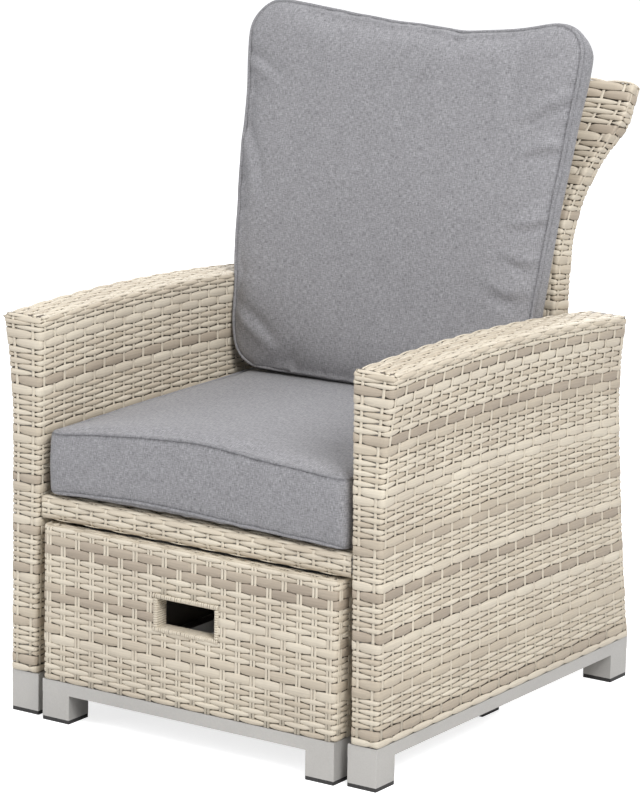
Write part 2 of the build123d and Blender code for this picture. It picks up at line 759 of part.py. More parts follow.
with BuildPart() as gas_spring_bracket:
    with BuildSketch(Plane.XZ.offset(-(front + spring_rail_y))):
        with Locations((0, seat_rail_z)):
            Rectangle(2 * (ear_far + ear_radius), seat_rail_side)
    extrude(amount=-ear_base_thickness)
    ear_reach = pin_y - (front + spring_rail_y)
    for side, sign in sides:
        with BuildSketch(Plane.YZ.offset(sign * ear_near)):
            with Locations((pin_y, pin_z)):
                Circle(ear_radius)
                Rectangle(ear_reach, 2 * ear_radius, align=(Align.MAX, Align.CENTER))
                Circle(spring_pin_radius + pin_fit, mode=Mode.SUBTRACT)
            with Locations((shaft_y, shaft_z)):
                Circle(shaft_radius + pin_fit, mode=Mode.SUBTRACT)
        extrude(amount=sign * ear_thickness)
gas_spring_bracket.part.label = "gas_spring_bracket"
export_step(gas_spring_bracket.part, "parts/gas_spring_bracket.step")

with BuildPart() as back_spring_lug:
    lug_height = pivot_z - back_rail_height / 2 - lug_z
    for side, sign in sides:
        with BuildSketch(Plane.YZ.offset(sign * ear_near)):
            with Locations((lug_y, lug_z)):
                Circle(ear_radius)
                Rectangle(2 * ear_radius, lug_height, align=(Align.CENTER, Align.MIN))
                Circle(spring_pin_radius + pin_fit, mode=Mode.SUBTRACT)
        extrude(amount=sign * ear_thickness)
back_spring_lug.part.label = "back_spring_lug"
export_step(back_spring_lug.part, "parts/back_spring_lug.step")

for name, place_y, place_z in (
    ("gas_spring_front_pin", pin_y, pin_z),
    ("gas_spring_rear_pin", lug_y, lug_z),
):
    with BuildPart() as pin:
        with BuildSketch(Plane.YZ):
            with Locations((place_y, place_z)):
                Circle(spring_pin_radius)
        extrude(amount=pin_reach, both=True)
        for side, sign in sides:
            with BuildSketch(Plane.YZ.offset(sign * ear_far)):
                with Locations((place_y, place_z)):
                    Circle(spring_pin_head_radius)
            extrude(amount=sign * spring_pin_head_height)
    pin.part.label = name
    export_step(pin.part, f"parts/{name}.step")

# Release lever: a shaft under the deck, a blade up beside the cushion and a grip
with BuildPart() as release_shaft:
    with BuildSketch(Plane.YZ.offset(-pin_reach)):
        with Locations((shaft_y, shaft_z)):
            Circle(shaft_radius)
    extrude(amount=pin_reach + blade_near)
    with BuildSketch(Plane.YZ):
        with Locations((shaft_y, shaft_z)):
            Rectangle(shaft_radius, shaft_radius + cam_reach, align=(Align.CENTER, Align.MIN))
    extrude(amount=cam_length / 2, both=True)
release_shaft.part.label = "release_shaft"
export_step(release_shaft.part, "parts/release_shaft.step")

with BuildPart() as release_blade:
    with BuildSketch(Plane.YZ.offset(blade_near)):
        with Locations((shaft_y, shaft_z)):
            Circle(blade_width / 2)
            Rectangle(blade_width, blade_top - shaft_z, align=(Align.CENTER, Align.MIN))
    extrude(amount=blade_thickness)
release_blade.part.label = "release_blade"
export_step(release_blade.part, "parts/release_blade.step")

with BuildPart() as release_grip:
    grip_x = blade_near + blade_thickness - grip_width / 2
    with BuildSketch(Plane.XY.offset(blade_top)):
        with Locations((grip_x, shaft_y)):
            RectangleRounded(grip_width, grip_depth, grip_radius)
    extrude(amount=grip_height)
    fillet(release_grip.faces().sort_by(Axis.Z)[-1].edges(), grip_radius / 2)
release_grip.part.label = "release_grip"
export_step(release_grip.part, "parts/release_grip.step")

# Footstool: an aluminium base, posts, a rim frame, a deck, four woven walls and a pad
stool_front = front - footstool_proud
stool_middle = stool_front + footstool_depth / 2
stool_half = footstool_width / 2
stool_base_half = stool_half - footstool_base_inset
stool_base_near = stool_front + footstool_base_inset
stool_base_far = stool_front + footstool_depth - footstool_base_inset
stool_rail_z = base_height - base_rail_height / 2

for end, stool_leg_y in (
    ("front", stool_base_near + leg_side / 2),
    ("rear", stool_base_far - leg_side / 2),
):
    for side, sign in sides:
        with BuildPart() as stool_leg:
            with BuildSketch(Plane.XY.offset(pad_height)):
                with Locations((sign * (stool_base_half - leg_side / 2), stool_leg_y)):
                    Rectangle(leg_side, leg_side)
                    Rectangle(leg_side - 2 * tube_wall, leg_side - 2 * tube_wall, mode=Mode.SUBTRACT)
            extrude(amount=leg_height)
            fillet(stool_leg.edges().filter_by(Axis.Z), tube_wall / 2)
        stool_leg.part.label = f"footstool_{side}_{end}_leg"
        export_step(stool_leg.part, f"parts/footstool_{side}_{end}_leg.step")

for side, sign in sides:
    with BuildPart() as stool_side_rail:
        with BuildSketch(Plane.XZ.offset(-stool_base_near)):
            rail_x = sign * (stool_base_half - footstool_rail_width / 2)
            with Locations((rail_x, stool_rail_z)):
                Rectangle(footstool_rail_width, base_rail_height)
        extrude(amount=-(stool_base_far - stool_base_near))
        with BuildSketch(Plane.XZ.offset(-stool_base_near - tube_wall)):
            with Locations((rail_x, stool_rail_z)):
                Rectangle(footstool_rail_width - 2 * tube_wall, base_rail_height - 2 * tube_wall)
        extrude(amount=-(stool_base_far - stool_base_near - 2 * tube_wall), mode=Mode.SUBTRACT)
    stool_side_rail.part.label = f"footstool_{side}_base_rail"
    export_step(stool_side_rail.part, f"parts/footstool_{side}_base_rail.step")

stool_cross_half = stool_base_half - footstool_rail_width
for end, rail_y in (
    ("front", stool_base_near + footstool_rail_width / 2),
    ("rear", stool_base_far - footstool_rail_width / 2),
):
    with BuildPart() as stool_cross_rail:
        with BuildSketch(Plane.YZ.offset(-stool_cross_half)):
            with Locations((rail_y, stool_rail_z)):
                Rectangle(footstool_rail_width, base_rail_height)
                Rectangle(
                    footstool_rail_width - 2 * tube_wall,
                    base_rail_height - 2 * tube_wall,
                    mode=Mode.SUBTRACT,
                )
        extrude(amount=2 * stool_cross_half)
    stool_cross_rail.part.label = f"footstool_{end}_base_rail"
    export_step(stool_cross_rail.part, f"parts/footstool_{end}_base_rail.step")

with BuildPart() as footstool_foot_pads:
    add(
        foot_pads(
            stool_base_half - leg_side / 2,
            stool_base_near + leg_side / 2,
            stool_base_far - leg_side / 2,
        )
    )
footstool_foot_pads.part.label = "footstool_foot_pads"
export_step(footstool_foot_pads.part, "parts/footstool_foot_pads.step")

stool_inner_width = footstool_width - 2 * (skin + skin_gap)
stool_inner_depth = footstool_depth - 2 * (skin + skin_gap)
stool_inner_radius = footstool_corner_radius - skin
rim_tube_top = footstool_top - skin - skin_gap
rim_tube_width = footstool_rim_width - 2 * (skin + skin_gap)
rim_tube_bottom = rim_tube_top - footstool_rim_tube_height
post_x = stool_inner_width / 2 - footstool_post_side / 2
post_y = stool_inner_depth / 2 - footstool_post_side / 2

with BuildPart() as footstool_posts:
    with BuildSketch(Plane.XY.offset(base_height)):
        for corner_x in (-post_x, post_x):
            for corner_y in (stool_middle - post_y, stool_middle + post_y):
                with Locations((corner_x, corner_y)):
                    RectangleRounded(footstool_post_side, footstool_post_side, stool_inner_radius)
    extrude(amount=rim_tube_bottom - base_height)
footstool_posts.part.label = "footstool_posts"
export_step(footstool_posts.part, "parts/footstool_posts.step")

with BuildPart() as footstool_rim_frame:
    with BuildSketch(Plane.XY.offset(rim_tube_bottom)):
        with Locations((0, stool_middle)):
            RectangleRounded(stool_inner_width, stool_inner_depth, stool_inner_radius)
            Rectangle(
                stool_inner_width - 2 * rim_tube_width,
                stool_inner_depth - 2 * rim_tube_width,
                mode=Mode.SUBTRACT,
            )
    extrude(amount=footstool_rim_tube_height)
footstool_rim_frame.part.label = "footstool_rim_frame"
export_step(footstool_rim_frame.part, "parts/footstool_rim_frame.step")

deck_rail_x_half = post_x - footstool_post_side / 2
deck_rail_y_half = post_y - footstool_post_side / 2
with BuildPart() as footstool_deck_rails:
    with BuildSketch(Plane.XY.offset(deck_rail_top - deck_rail_height)):
        for rail_x in (-post_x, post_x):
            with Locations((rail_x, stool_middle)):
                Rectangle(footstool_post_side, 2 * deck_rail_y_half)
        for rail_y in (stool_middle - post_y, stool_middle + post_y):
            with Locations((0, rail_y)):
                Rectangle(2 * deck_rail_x_half, footstool_post_side)
    extrude(amount=deck_rail_height)
footstool_deck_rails.part.label = "footstool_deck_rails"
export_step(footstool_deck_rails.part, "parts/footstool_deck_rails.step")

with BuildPart() as footstool_deck_weave:
    with BuildSketch(Plane.XY.offset(deck_rail_top)):
        with Locations((0, stool_middle)):
            Rectangle(stool_inner_width, 2 * deck_rail_y_half)
    extrude(amount=skin)
footstool_deck_weave.part.label = "footstool_deck_weave"
export_step(footstool_deck_weave.part, "parts/footstool_deck_weave.step")


def stool_skin():
    """All four woven walls in one, rolled in over the rim frame."""
    well_width = footstool_width - 2 * footstool_rim_width
    well_depth = footstool_depth - 2 * footstool_rim_width
    with BuildPart() as walls:
        with BuildSketch(Plane.XY.offset(base_height)):
            with Locations((0, stool_middle)):
                RectangleRounded(footstool_width, footstool_depth, footstool_corner_radius)
        extrude(amount=footstool_top - base_height)
        fillet(walls.faces().sort_by(Axis.Z)[-1].edges(), footstool_rim_radius)
        with BuildSketch(Plane.XY.offset(base_height)):
            with Locations((0, stool_middle)):
                RectangleRounded(
                    footstool_width - 2 * skin, footstool_depth - 2 * skin, stool_inner_radius
                )
        extrude(amount=footstool_top - skin - base_height, mode=Mode.SUBTRACT)
        with BuildSketch(Plane.XY.offset(footstool_top - footstool_lip_height)):
            with Locations((0, stool_middle)):
                Rectangle(well_width + 2 * skin, well_depth + 2 * skin)
        extrude(amount=footstool_lip_height)
        with BuildSketch(Plane.XY.offset(base_height)):
            with Locations((0, stool_middle)):
                Rectangle(well_width, well_depth)
        extrude(amount=footstool_top - base_height, mode=Mode.SUBTRACT)
    return walls.part


binding_outer_width = hand_hole_width + 2 * binding_width
binding_outer_height = hand_hole_height + 2 * binding_width
wall_cut = footstool_rim_width
wall_ends = (
    ("front", 0, stool_middle - footstool_depth / 2 + wall_cut / 2, footstool_width, wall_cut),
    ("rear", 0, stool_middle + footstool_depth / 2 - wall_cut / 2, footstool_width, wall_cut),
    ("left", wall_cut / 2 - stool_half, stool_middle, wall_cut, footstool_depth - 2 * wall_cut),
    ("right", stool_half - wall_cut / 2, stool_middle, wall_cut, footstool_depth - 2 * wall_cut),
)
for end, wall_x, wall_y, wall_width, wall_depth in wall_ends:
    with BuildPart() as stool_wall:
        add(stool_skin())
        with BuildSketch(Plane.XY.offset(base_height)):
            with Locations((wall_x, wall_y)):
                Rectangle(wall_width, wall_depth)
        extrude(amount=footstool_top - base_height, mode=Mode.INTERSECT)
        if end == "front":
            with BuildSketch(Plane.XZ.offset(-stool_front)):
                with Locations((0, hand_hole_middle)):
                    Rectangle(binding_outer_width, binding_outer_height)
            extrude(amount=-skin, mode=Mode.SUBTRACT)
    stool_wall.part.label = f"footstool_{end}_weave"
    export_step(stool_wall.part, f"parts/footstool_{end}_weave.step")

with BuildPart() as hand_hole_binding:
    with BuildSketch(Plane.XZ.offset(-stool_front)):
        with Locations((0, hand_hole_middle)):
            Rectangle(binding_outer_width, binding_outer_height)
            Rectangle(hand_hole_width, hand_hole_height, mode=Mode.SUBTRACT)
    extrude(amount=-binding_depth)
    hole_edges = hand_hole_binding.faces().sort_by(Axis.Y)[0].inner_wires()[0].edges()
    fillet(hole_edges, binding_radius)
hand_hole_binding.part.label = "hand_hole_binding"
export_step(hand_hole_binding.part, "parts/hand_hole_binding.step")


# Cushions, each lofted through arched sections
def cushion_loft(planes, sections):
    """A cushion through sections of (low, high, flat, crowned, bulge) on their planes."""
    with BuildPart() as cushion:
        for plane, (low, high, flat, crowned, crown, bulge) in zip(planes, sections):
            side = crowned - flat
            way = 1 if side > 0 else -1
            with BuildSketch(plane):
                with BuildLine():
                    Line((low, flat), (high, flat))
                    ThreePointArc((high, flat), (high + bulge, flat + side / 2), (high, crowned))
                    ThreePointArc(
                        (high, crowned), ((low + high) / 2, crowned + way * crown), (low, crowned)
                    )
                    ThreePointArc((low, crowned), (low - bulge, flat + side / 2), (low, flat))
                make_face()
        loft()
    return cushion.part


seat_bottom = deck_top + cushion_gap
seat_planes = [Plane.YZ.offset(share * seat_cushion_half) for share in seat_station_shares]
seat_sections = []
for share in seat_station_shares:
    fullness = 1 - share * share
    pull = seat_cushion_pull * fullness
    seat_sections.append(
        (
            front - seat_cushion_proud + seat_cushion_bulge + pull,
            front + seat_cushion_rear - seat_cushion_bulge - pull,
            seat_bottom,
            seat_bottom + seat_cushion_side_height + seat_cushion_arch * fullness,
            seat_cushion_crown * fullness + cushion_gap,
            seat_cushion_bulge,
        )
    )
with BuildPart() as seat_cushion:
    add(cushion_loft(seat_planes, seat_sections))
seat_cushion.part.label = "seat_cushion"
export_step(seat_cushion.part, "parts/seat_cushion.step")

seat_edge_top = seat_bottom + seat_cushion_side_height + seat_cushion_arch
seat_rest_top = seat_edge_top + back_rest_share * (seat_cushion_crown + cushion_gap)
back_cushion_bottom = seat_rest_top + cushion_gap
back_cushion_height = back_cushion_top - back_cushion_bottom
back_planes = []
back_sections = []
for height_share, spread_share, lean_share, thickness_share in zip(
    back_height_shares, back_spread_shares, back_lean_shares, back_thickness_shares
):
    half = back_cushion_half + back_cushion_spread * spread_share
    near = front + back_cushion_front + back_cushion_lean * lean_share
    back_planes.append(Plane.XY.offset(back_cushion_bottom + back_cushion_height * height_share))
    back_sections.append(
        (
            back_cushion_bulge - half,
            half - back_cushion_bulge,
            near + back_cushion_thickness * thickness_share,
            near,
            back_cushion_crown,
            back_cushion_bulge,
        )
    )
with BuildPart() as back_cushion:
    add(cushion_loft(back_planes, back_sections))
back_cushion.part.label = "back_cushion"
export_step(back_cushion.part, "parts/back_cushion.step")

pad_half = stool_half - footstool_rim_width - footstool_pad_gap
pad_bottom = deck_rail_top + skin + cushion_gap
pad_planes = [Plane.YZ.offset(share * pad_half) for share in seat_station_shares]
pad_sections = []
for share in seat_station_shares:
    fullness = 1 - share * share
    pad_near = stool_front + footstool_rim_width + footstool_pad_gap
    pad_sections.append(
        (
            pad_near + footstool_pad_crown,
            pad_near + footstool_depth - 2 * (footstool_rim_width + footstool_pad_gap)
            - footstool_pad_crown,
            pad_bottom,
            pad_bottom + footstool_pad_edge - footstool_pad_crown,
            footstool_pad_crown * fullness + cushion_gap,
            footstool_pad_crown,
        )
    )
with BuildPart() as footstool_pad:
    add(cushion_loft(pad_planes, pad_sections))
footstool_pad.part.label = "footstool_pad"
export_step(footstool_pad.part, "parts/footstool_pad.step")
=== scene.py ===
import bpy
import json
import math
import numpy as np
from mathutils import Matrix, Vector
from mathutils.bvhtree import BVHTree
from mathutils.kdtree import KDTree


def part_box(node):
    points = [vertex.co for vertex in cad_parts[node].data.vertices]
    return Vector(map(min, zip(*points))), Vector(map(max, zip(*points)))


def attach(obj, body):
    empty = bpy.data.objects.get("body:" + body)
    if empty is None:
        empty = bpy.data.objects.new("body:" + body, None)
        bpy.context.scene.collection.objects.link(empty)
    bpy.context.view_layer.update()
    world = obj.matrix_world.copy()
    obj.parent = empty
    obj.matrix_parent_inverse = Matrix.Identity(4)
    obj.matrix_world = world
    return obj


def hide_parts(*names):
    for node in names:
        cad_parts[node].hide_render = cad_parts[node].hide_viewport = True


# Garden armchair with its footstool: woven strands, satin aluminium and heather grey cushions.
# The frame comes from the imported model. Lengths below are in millimetres until a mesh is made.

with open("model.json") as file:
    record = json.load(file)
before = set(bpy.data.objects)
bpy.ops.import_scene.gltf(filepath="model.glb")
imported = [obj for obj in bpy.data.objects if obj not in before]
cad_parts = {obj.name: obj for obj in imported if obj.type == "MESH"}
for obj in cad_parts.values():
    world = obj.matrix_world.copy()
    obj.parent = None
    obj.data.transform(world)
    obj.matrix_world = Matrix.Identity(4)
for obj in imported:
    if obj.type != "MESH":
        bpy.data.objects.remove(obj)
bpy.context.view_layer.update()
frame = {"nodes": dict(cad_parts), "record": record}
nodes = frame["nodes"]
armFront = -364.5       # y of the arm fronts
rng = np.random.default_rng(20)

view = {"place": (3.3633, -5.1274, 1.8981), "azimuth": 34.74, "height": 12.99, "roll": 0.8,
        "lens": 185.28, "sensor": 36, "shiftX": 0.1186, "shiftY": -0.0099, "far": 100}


def newObject(name, data):
    made = bpy.data.objects.new(name, data)
    bpy.context.scene.collection.objects.link(made)
    return made


def makeCamera():
    az, el, roll = (math.radians(view[k]) for k in ("azimuth", "height", "roll"))
    back = Vector((math.sin(az) * math.cos(el), -math.cos(az) * math.cos(el), math.sin(el)))
    right = (-back).cross(Vector((0, 0, 1))).normalized()
    up = right.cross(-back).normalized()
    side = right * math.cos(roll) + up * math.sin(roll)
    top = up * math.cos(roll) - right * math.sin(roll)
    data = bpy.data.cameras.new("camera")
    data.lens, data.sensor_width, data.clip_end = view["lens"], view["sensor"], view["far"]
    data.shift_x, data.shift_y = view["shiftX"], view["shiftY"]
    camera = newObject("camera", data)
    camera.matrix_world = Matrix([(side[i], top[i], back[i], view["place"][i]) for i in range(3)] + [(0, 0, 0, 1)])
    bpy.context.scene.camera = camera


lampAim = Vector((0, 0, 0.45))
lamps = {  # place, size and power of each soft box, all aimed at the seat
    "keyLamp": ((3.2, -2.2, 3.4), 2.2, 169),
    "fillLamp": ((-3.4, -3.4, 2.2), 3.0, 79),
    "topLamp": ((0.2, 0.6, 4.0), 3.0, 54),
    "rearLamp": ((-1.0, 4.0, 2.6), 2.5, 60),
}


def makeLamps():
    for name, (place, size, power) in lamps.items():
        data = bpy.data.lights.new(name, "AREA")
        data.shape, data.size, data.energy = "DISK", size, power
        lamp = newObject(name, data)
        lamp.location = place
        lamp.rotation_euler = (lampAim - Vector(place)).to_track_quat("-Z", "Y").to_euler()


def nodeTree(owner):
    owner.use_nodes = True
    tree = owner.node_tree
    tree.nodes.clear()
    return tree


def addNode(tree, kind, **values):
    # a key that starts with in_ sets an input, any other one a property
    node = tree.nodes.new("ShaderNode" + kind)
    for key, value in values.items():
        if key.startswith("in_"):
            node.inputs[key[3:].replace("_", " ")].default_value = value
        else:
            setattr(node, key, value)
    return node


def link(source, target, socket=0, output=0):
    source.id_data.links.new(source.outputs[output], target.inputs[socket])


white = (1, 1, 1, 1)
stage = {"sky": (0.93, 0.95, 1.0, 1), "skyPower": 0.42, "roomPower": 1.2, "floor": (0.72, 0.72, 0.72, 1),
         "glow": 0.78, "reach": 30}


def makeStage():
    # seen directly, mirrored or through something the room is white; all other light comes from a soft sky
    world = bpy.data.worlds.new("studio")
    bpy.context.scene.world = world
    tree = nodeTree(world)
    ray = addNode(tree, "LightPath")
    direct = addNode(tree, "Math", operation="MAXIMUM")
    seen = addNode(tree, "Math", operation="MAXIMUM")
    sky = addNode(tree, "Background", in_Color=stage["sky"], in_Strength=stage["skyPower"])
    room = addNode(tree, "Background", in_Color=white, in_Strength=stage["roomPower"])
    mix = addNode(tree, "MixShader")
    link(ray, direct, 0, "Is Camera Ray")
    link(ray, direct, 1, "Is Glossy Ray")
    link(direct, seen)
    link(ray, seen, 1, "Is Transmission Ray")
    link(seen, mix)
    link(sky, mix, 1)
    link(room, mix, 2)
    link(mix, addNode(tree, "OutputWorld"))

    # the floor takes the shadow, and glows for the camera alone
    r = stage["reach"]
    mesh = bpy.data.meshes.new("floor")
    mesh.from_pydata([(-r, -r, 0), (r, -r, 0), (r, r, 0), (-r, r, 0)], [], [(0, 1, 2, 3)])
    floor = newObject("floor", mesh)
    material = bpy.data.materials.new("paleFloor")
    tree = nodeTree(material)
    matt = addNode(tree, "BsdfDiffuse", in_Color=stage["floor"])
    glow = addNode(tree, "Emission", in_Color=white, in_Strength=stage["glow"])
    both = addNode(tree, "AddShader")
    mix = addNode(tree, "MixShader")
    link(matt, both)
    link(glow, both, 1)
    link(addNode(tree, "LightPath"), mix, 0, "Is Camera Ray")
    link(matt, mix, 1)
    link(both, mix, 2)
    link(mix, addNode(tree, "OutputMaterial"))
    mesh.materials.append(material)


def principled(name):
    material = bpy.data.materials.new(name)
    tree = nodeTree(material)
    shader = addNode(tree, "BsdfPrincipled")
    link(shader, addNode(tree, "OutputMaterial"))
    return material, tree, shader


def ramp(source, stops):
    node = addNode(source.id_data, "ValToRGB")
    elements = node.color_ramp.elements
    while len(elements) < len(stops):
        elements.new(0.5)
    for element, (place, colour) in zip(elements, stops):
        element.position = place
        element.color = (*colour, 1)
    link(source, node)
    return node.outputs[0]


def greys(source, low, dark, high, pale):
    return ramp(source, [(low, (dark,) * 3), (high, (pale,) * 3)])


def multiply(amount, first, second):
    # first times second, as far as the amount says; amount and second are a socket or a plain value
    tree = first.id_data
    node = addNode(tree, "Mix", data_type="RGBA", blend_type="MULTIPLY")
    for socket, value in ((0, amount), (6, first), (7, second)):
        if isinstance(value, float):
            node.inputs[socket].default_value = value
        elif isinstance(value, tuple):
            node.inputs[socket].default_value = (*value, 1)
        else:
            tree.links.new(value, node.inputs[socket])
    return node.outputs[2]


def noiseAt(source, output, **values):
    noise = addNode(source.id_data, "TexNoise", **values)
    link(source, noise, "Vector", output)
    return noise


def stretched(source, output, scale):
    stretch = addNode(source.id_data, "Mapping", in_Scale=scale)
    link(source, stretch, 0, output)
    return stretch


def finishShader(shader, colour, height, bump, rough=None, spread=None):
    # base colour, a bump of the given strength and depth, and a roughness that varies between two values
    tree = shader.id_data
    tree.links.new(colour, shader.inputs["Base Color"])
    node = addNode(tree, "Bump", in_Strength=bump[0], in_Distance=bump[1])
    link(height, node, "Height")
    link(node, shader, "Normal")
    if rough:
        node = addNode(tree, "MapRange", in_To_Min=rough[0], in_To_Max=rough[1])
        link(spread, node, "Value")
        link(node, shader, "Roughness")


wickerLook = {
    "cream": (0.70, 0.635, 0.525), "beige": (0.56, 0.49, 0.39), "taupe": (0.41, 0.345, 0.275),
    "shadow": (0.12, 0.097, 0.078), "streaks": (6.0, 900.0, 1.0), "patches": 9.0,
    "streakShade": [(0.3, (0.80, 0.79, 0.78)), (0.7, (1.08, 1.07, 1.05))], "streakShare": 0.75,
    "patchShade": [(0.35, (0.93, 0.92, 0.91)), (0.65, (1.04, 1.04, 1.03))],
    "rough": (0.44, 0.64), "bump": (0.28, 0.0006),
}


def makeWicker():
    # tint 0 is cream, 0.5 beige, 1 taupe, and 2 the dark layer behind the strands, painted shade for the hollow seen
    # between them
    look = wickerLook
    material, tree, shader = principled("wickerStrand")
    half = addNode(tree, "Math", operation="MULTIPLY")
    half.inputs[1].default_value = 0.5
    link(addNode(tree, "Attribute", attribute_name="tint"), half, 0, "Fac")
    colours = ramp(half, [(0.0, look["cream"]), (0.25, look["beige"]), (0.5, look["taupe"]), (1.0, look["shadow"])])
    along = stretched(addNode(tree, "UVMap", uv_map="strandUv"), 0, look["streaks"])
    streak = noiseAt(along, 0, in_Scale=1.0, in_Detail=4.0, in_Roughness=0.65)
    cloud = noiseAt(addNode(tree, "TexCoord"), "Object", in_Scale=look["patches"], in_Detail=3.0)
    body = multiply(look["streakShare"], colours, ramp(streak, look["streakShade"]))
    colour = multiply(1.0, body, ramp(cloud, look["patchShade"]))
    finishShader(shader, colour, streak, look["bump"], look["rough"], streak)
    return material


speckleLook = {"fine": 420.0, "broad": 7.0, "rougher": (-0.06, 0.1), "bump": 0.25, "depth": 0.0002}


def makeSpeckled(name, dark, pale, metal, rough, depth=speckleLook["depth"]):
    # fine speckle between two near colours, as on powder coat, moulded plastic and plated steel
    look = speckleLook
    material, tree, shader = principled(name)
    place = addNode(tree, "TexCoord")
    fine = noiseAt(place, "Object", in_Scale=look["fine"], in_Detail=3.0, in_Roughness=0.6)
    broad = noiseAt(place, "Object", in_Scale=look["broad"], in_Detail=4.0)
    colour = multiply(1.0, ramp(fine, [(0.35, dark), (0.65, pale)]), greys(broad, 0.3, 0.93, 0.7, 1.03))
    shader.inputs["Metallic"].default_value = metal
    shader.inputs["Specular IOR Level"].default_value = 0.5
    finishShader(shader, colour, fine, (look["bump"], depth), [rough + more for more in look["rougher"]], broad)
    return material


fabricLook = {
    "dark": (0.165, 0.163, 0.171), "pale": (0.39, 0.384, 0.397), "thread": 900.0, "slub": 120.0, "patches": 38.0,
    # the seam colour is mixed in beside each piping: painted shade in the groove
    "seam": (0.42, 0.42, 0.43), "bump": (0.35, 0.0005),
    "shine": {"Roughness": 0.92, "Sheen Weight": 0.12, "Sheen Roughness": 0.5, "Specular IOR Level": 0.2},
}


def makeFabric():
    # two crossing sets of threads, each a noise stretched along its own thread
    look = fabricLook
    material, tree, shader = principled("heatherFabric")
    flat = addNode(tree, "Attribute", attribute_name="clothPlace")
    cross = addNode(tree, "Math", operation="ADD")
    for i, scale in enumerate(((look["slub"], look["thread"], 1.0), (look["thread"], look["slub"], 1.0))):
        thread = noiseAt(stretched(flat, "Vector", scale), 0, in_Scale=1.0, in_Detail=2.0, in_Roughness=0.6)
        link(thread, cross, i)
    even = addNode(tree, "MapRange", in_From_Min=0.72, in_From_Max=1.28)
    link(cross, even, "Value")
    cloud = noiseAt(addNode(tree, "TexCoord"), "Object", in_Scale=look["patches"], in_Detail=5.0, in_Roughness=0.7)
    threads = ramp(even, [(0.0, look["dark"]), (1.0, look["pale"])])
    cloth = multiply(1.0, threads, greys(cloud, 0.35, 0.95, 0.65, 1.04))
    # this attribute darkens the cloth by the piping: painted shade
    seam = addNode(tree, "Attribute", attribute_name="seam")
    for socket, value in look["shine"].items():
        shader.inputs[socket].default_value = value
    finishShader(shader, multiply(seam.outputs["Fac"], cloth, look["seam"]), even, look["bump"])
    return material


flatStrand = {
    "section": ((-1.0, 0.2), (1.0, 0.2), (0.84, 0.84), (0.0, 1.0), (-0.84, 0.84)),
    "thick": 1.7, "wide": 1.02, "arch": 4.5, "waist": 0.55, "sharp": 5.0,
}
roundStrand = {
    "section": ((-1.0, 0.1), (1.0, 0.1), (0.7, 0.78), (0.0, 1.0), (-0.7, 0.78)),
    "thick": 2.3, "wide": 1.09, "arch": 2.1, "waist": 0.92, "sharp": 4.0,
}
weave = {
    "near": (-0.62, -0.36, -0.22, -0.1, 0.0, 0.1, 0.22, 0.36, 0.62, 1.0),  # sampled places round each dip, in pitches
    "corner": (-0.33, -0.17, 0.0, 0.17, 0.33),                             # and round each corner
    # the last tint below is that of the dark layer, painted shade seen between the strands
    "dip": 4.7, "sunk": 0.15, "warpHalf": 2.7, "warpTop": 1.7, "warpThick": 1.3, "behind": 2.0,
    "smallStep": (0.02, 0.4),   # in pitches along a row, in millimetres across it
}


def newStore():
    return {"points": [], "quads": [], "caps": [], "uv": [], "tint": [], "count": 0}


def quadsBetween(rings, after):
    return np.stack([rings, np.roll(rings, -1, 1), np.roll(after, -1, 1), after], -1).reshape(-1, 4)


def sweep(store, centres, across, outward, halves, lifts, thick, section, tints, closed):
    # a section carried along a path: centre + across * half * a + outward * (lift + thick * b)
    a, b = np.array(section).T
    n, k = len(centres), len(a)
    rings = (centres[:, None, :] + across[:, None, :] * (halves[:, None] * a)[..., None]
             + outward[:, None, :] * (lifts[:, None] + thick * b)[..., None])
    step = np.diff(centres, axis=0, append=centres[:1] if closed else centres[-1:] * 2 - centres[-2:-1])
    far = np.concatenate([[0], np.cumsum(np.linalg.norm(step, axis=1))])
    forward = np.einsum("ij,ij->i", step, np.cross(across, outward)).sum() > 0
    start = store["count"]
    grid = start + np.arange(n * k).reshape(n, k)
    after = np.roll(grid, -1, axis=0)[: n if closed else n - 1]
    m = len(after)
    quads = quadsBetween(grid[:m], after)
    shift = rng.uniform(0, 900)
    u0, u1 = np.repeat(far[:m], k) + shift, np.repeat(far[1:m + 1], k) + shift
    v0, v1 = np.tile(np.arange(k) * 3.0, m), np.tile((np.arange(k) + 1) * 3.0, m)
    uv = np.stack([np.stack(corner, -1) for corner in ((u0, v0), (u0, v1), (u1, v1), (u1, v0))], 1)
    if not forward:
        quads, uv = quads[:, ::-1], uv[:, ::-1]
    store["points"].append(rings.reshape(-1, 3))
    store["quads"].append(quads)
    store["uv"].append(uv)
    store["tint"].append(np.repeat(tints, k))
    if not closed:
        first, last = grid[0], grid[-1]
        store["caps"] += [first[::-1].tolist(), last.tolist()] if forward else [first.tolist(), last[::-1].tolist()]
    store["count"] = start + n * k


def unit(vectors):
    return vectors / np.maximum(np.linalg.norm(vectors, axis=-1, keepdims=True), 1e-9)


def frameOf(surface, u, v):
    # tangents by small steps; outward is the tangent along the row crossed with the one up the rows
    du, dv = weave["smallStep"]
    along = unit(surface(u + du, v) - surface(u - du, v))
    across = unit(surface(u, v + dv) - surface(u, v - dv))
    outward = unit(np.cross(along, across))
    return surface(u, v), unit(np.cross(outward, along)), outward, along


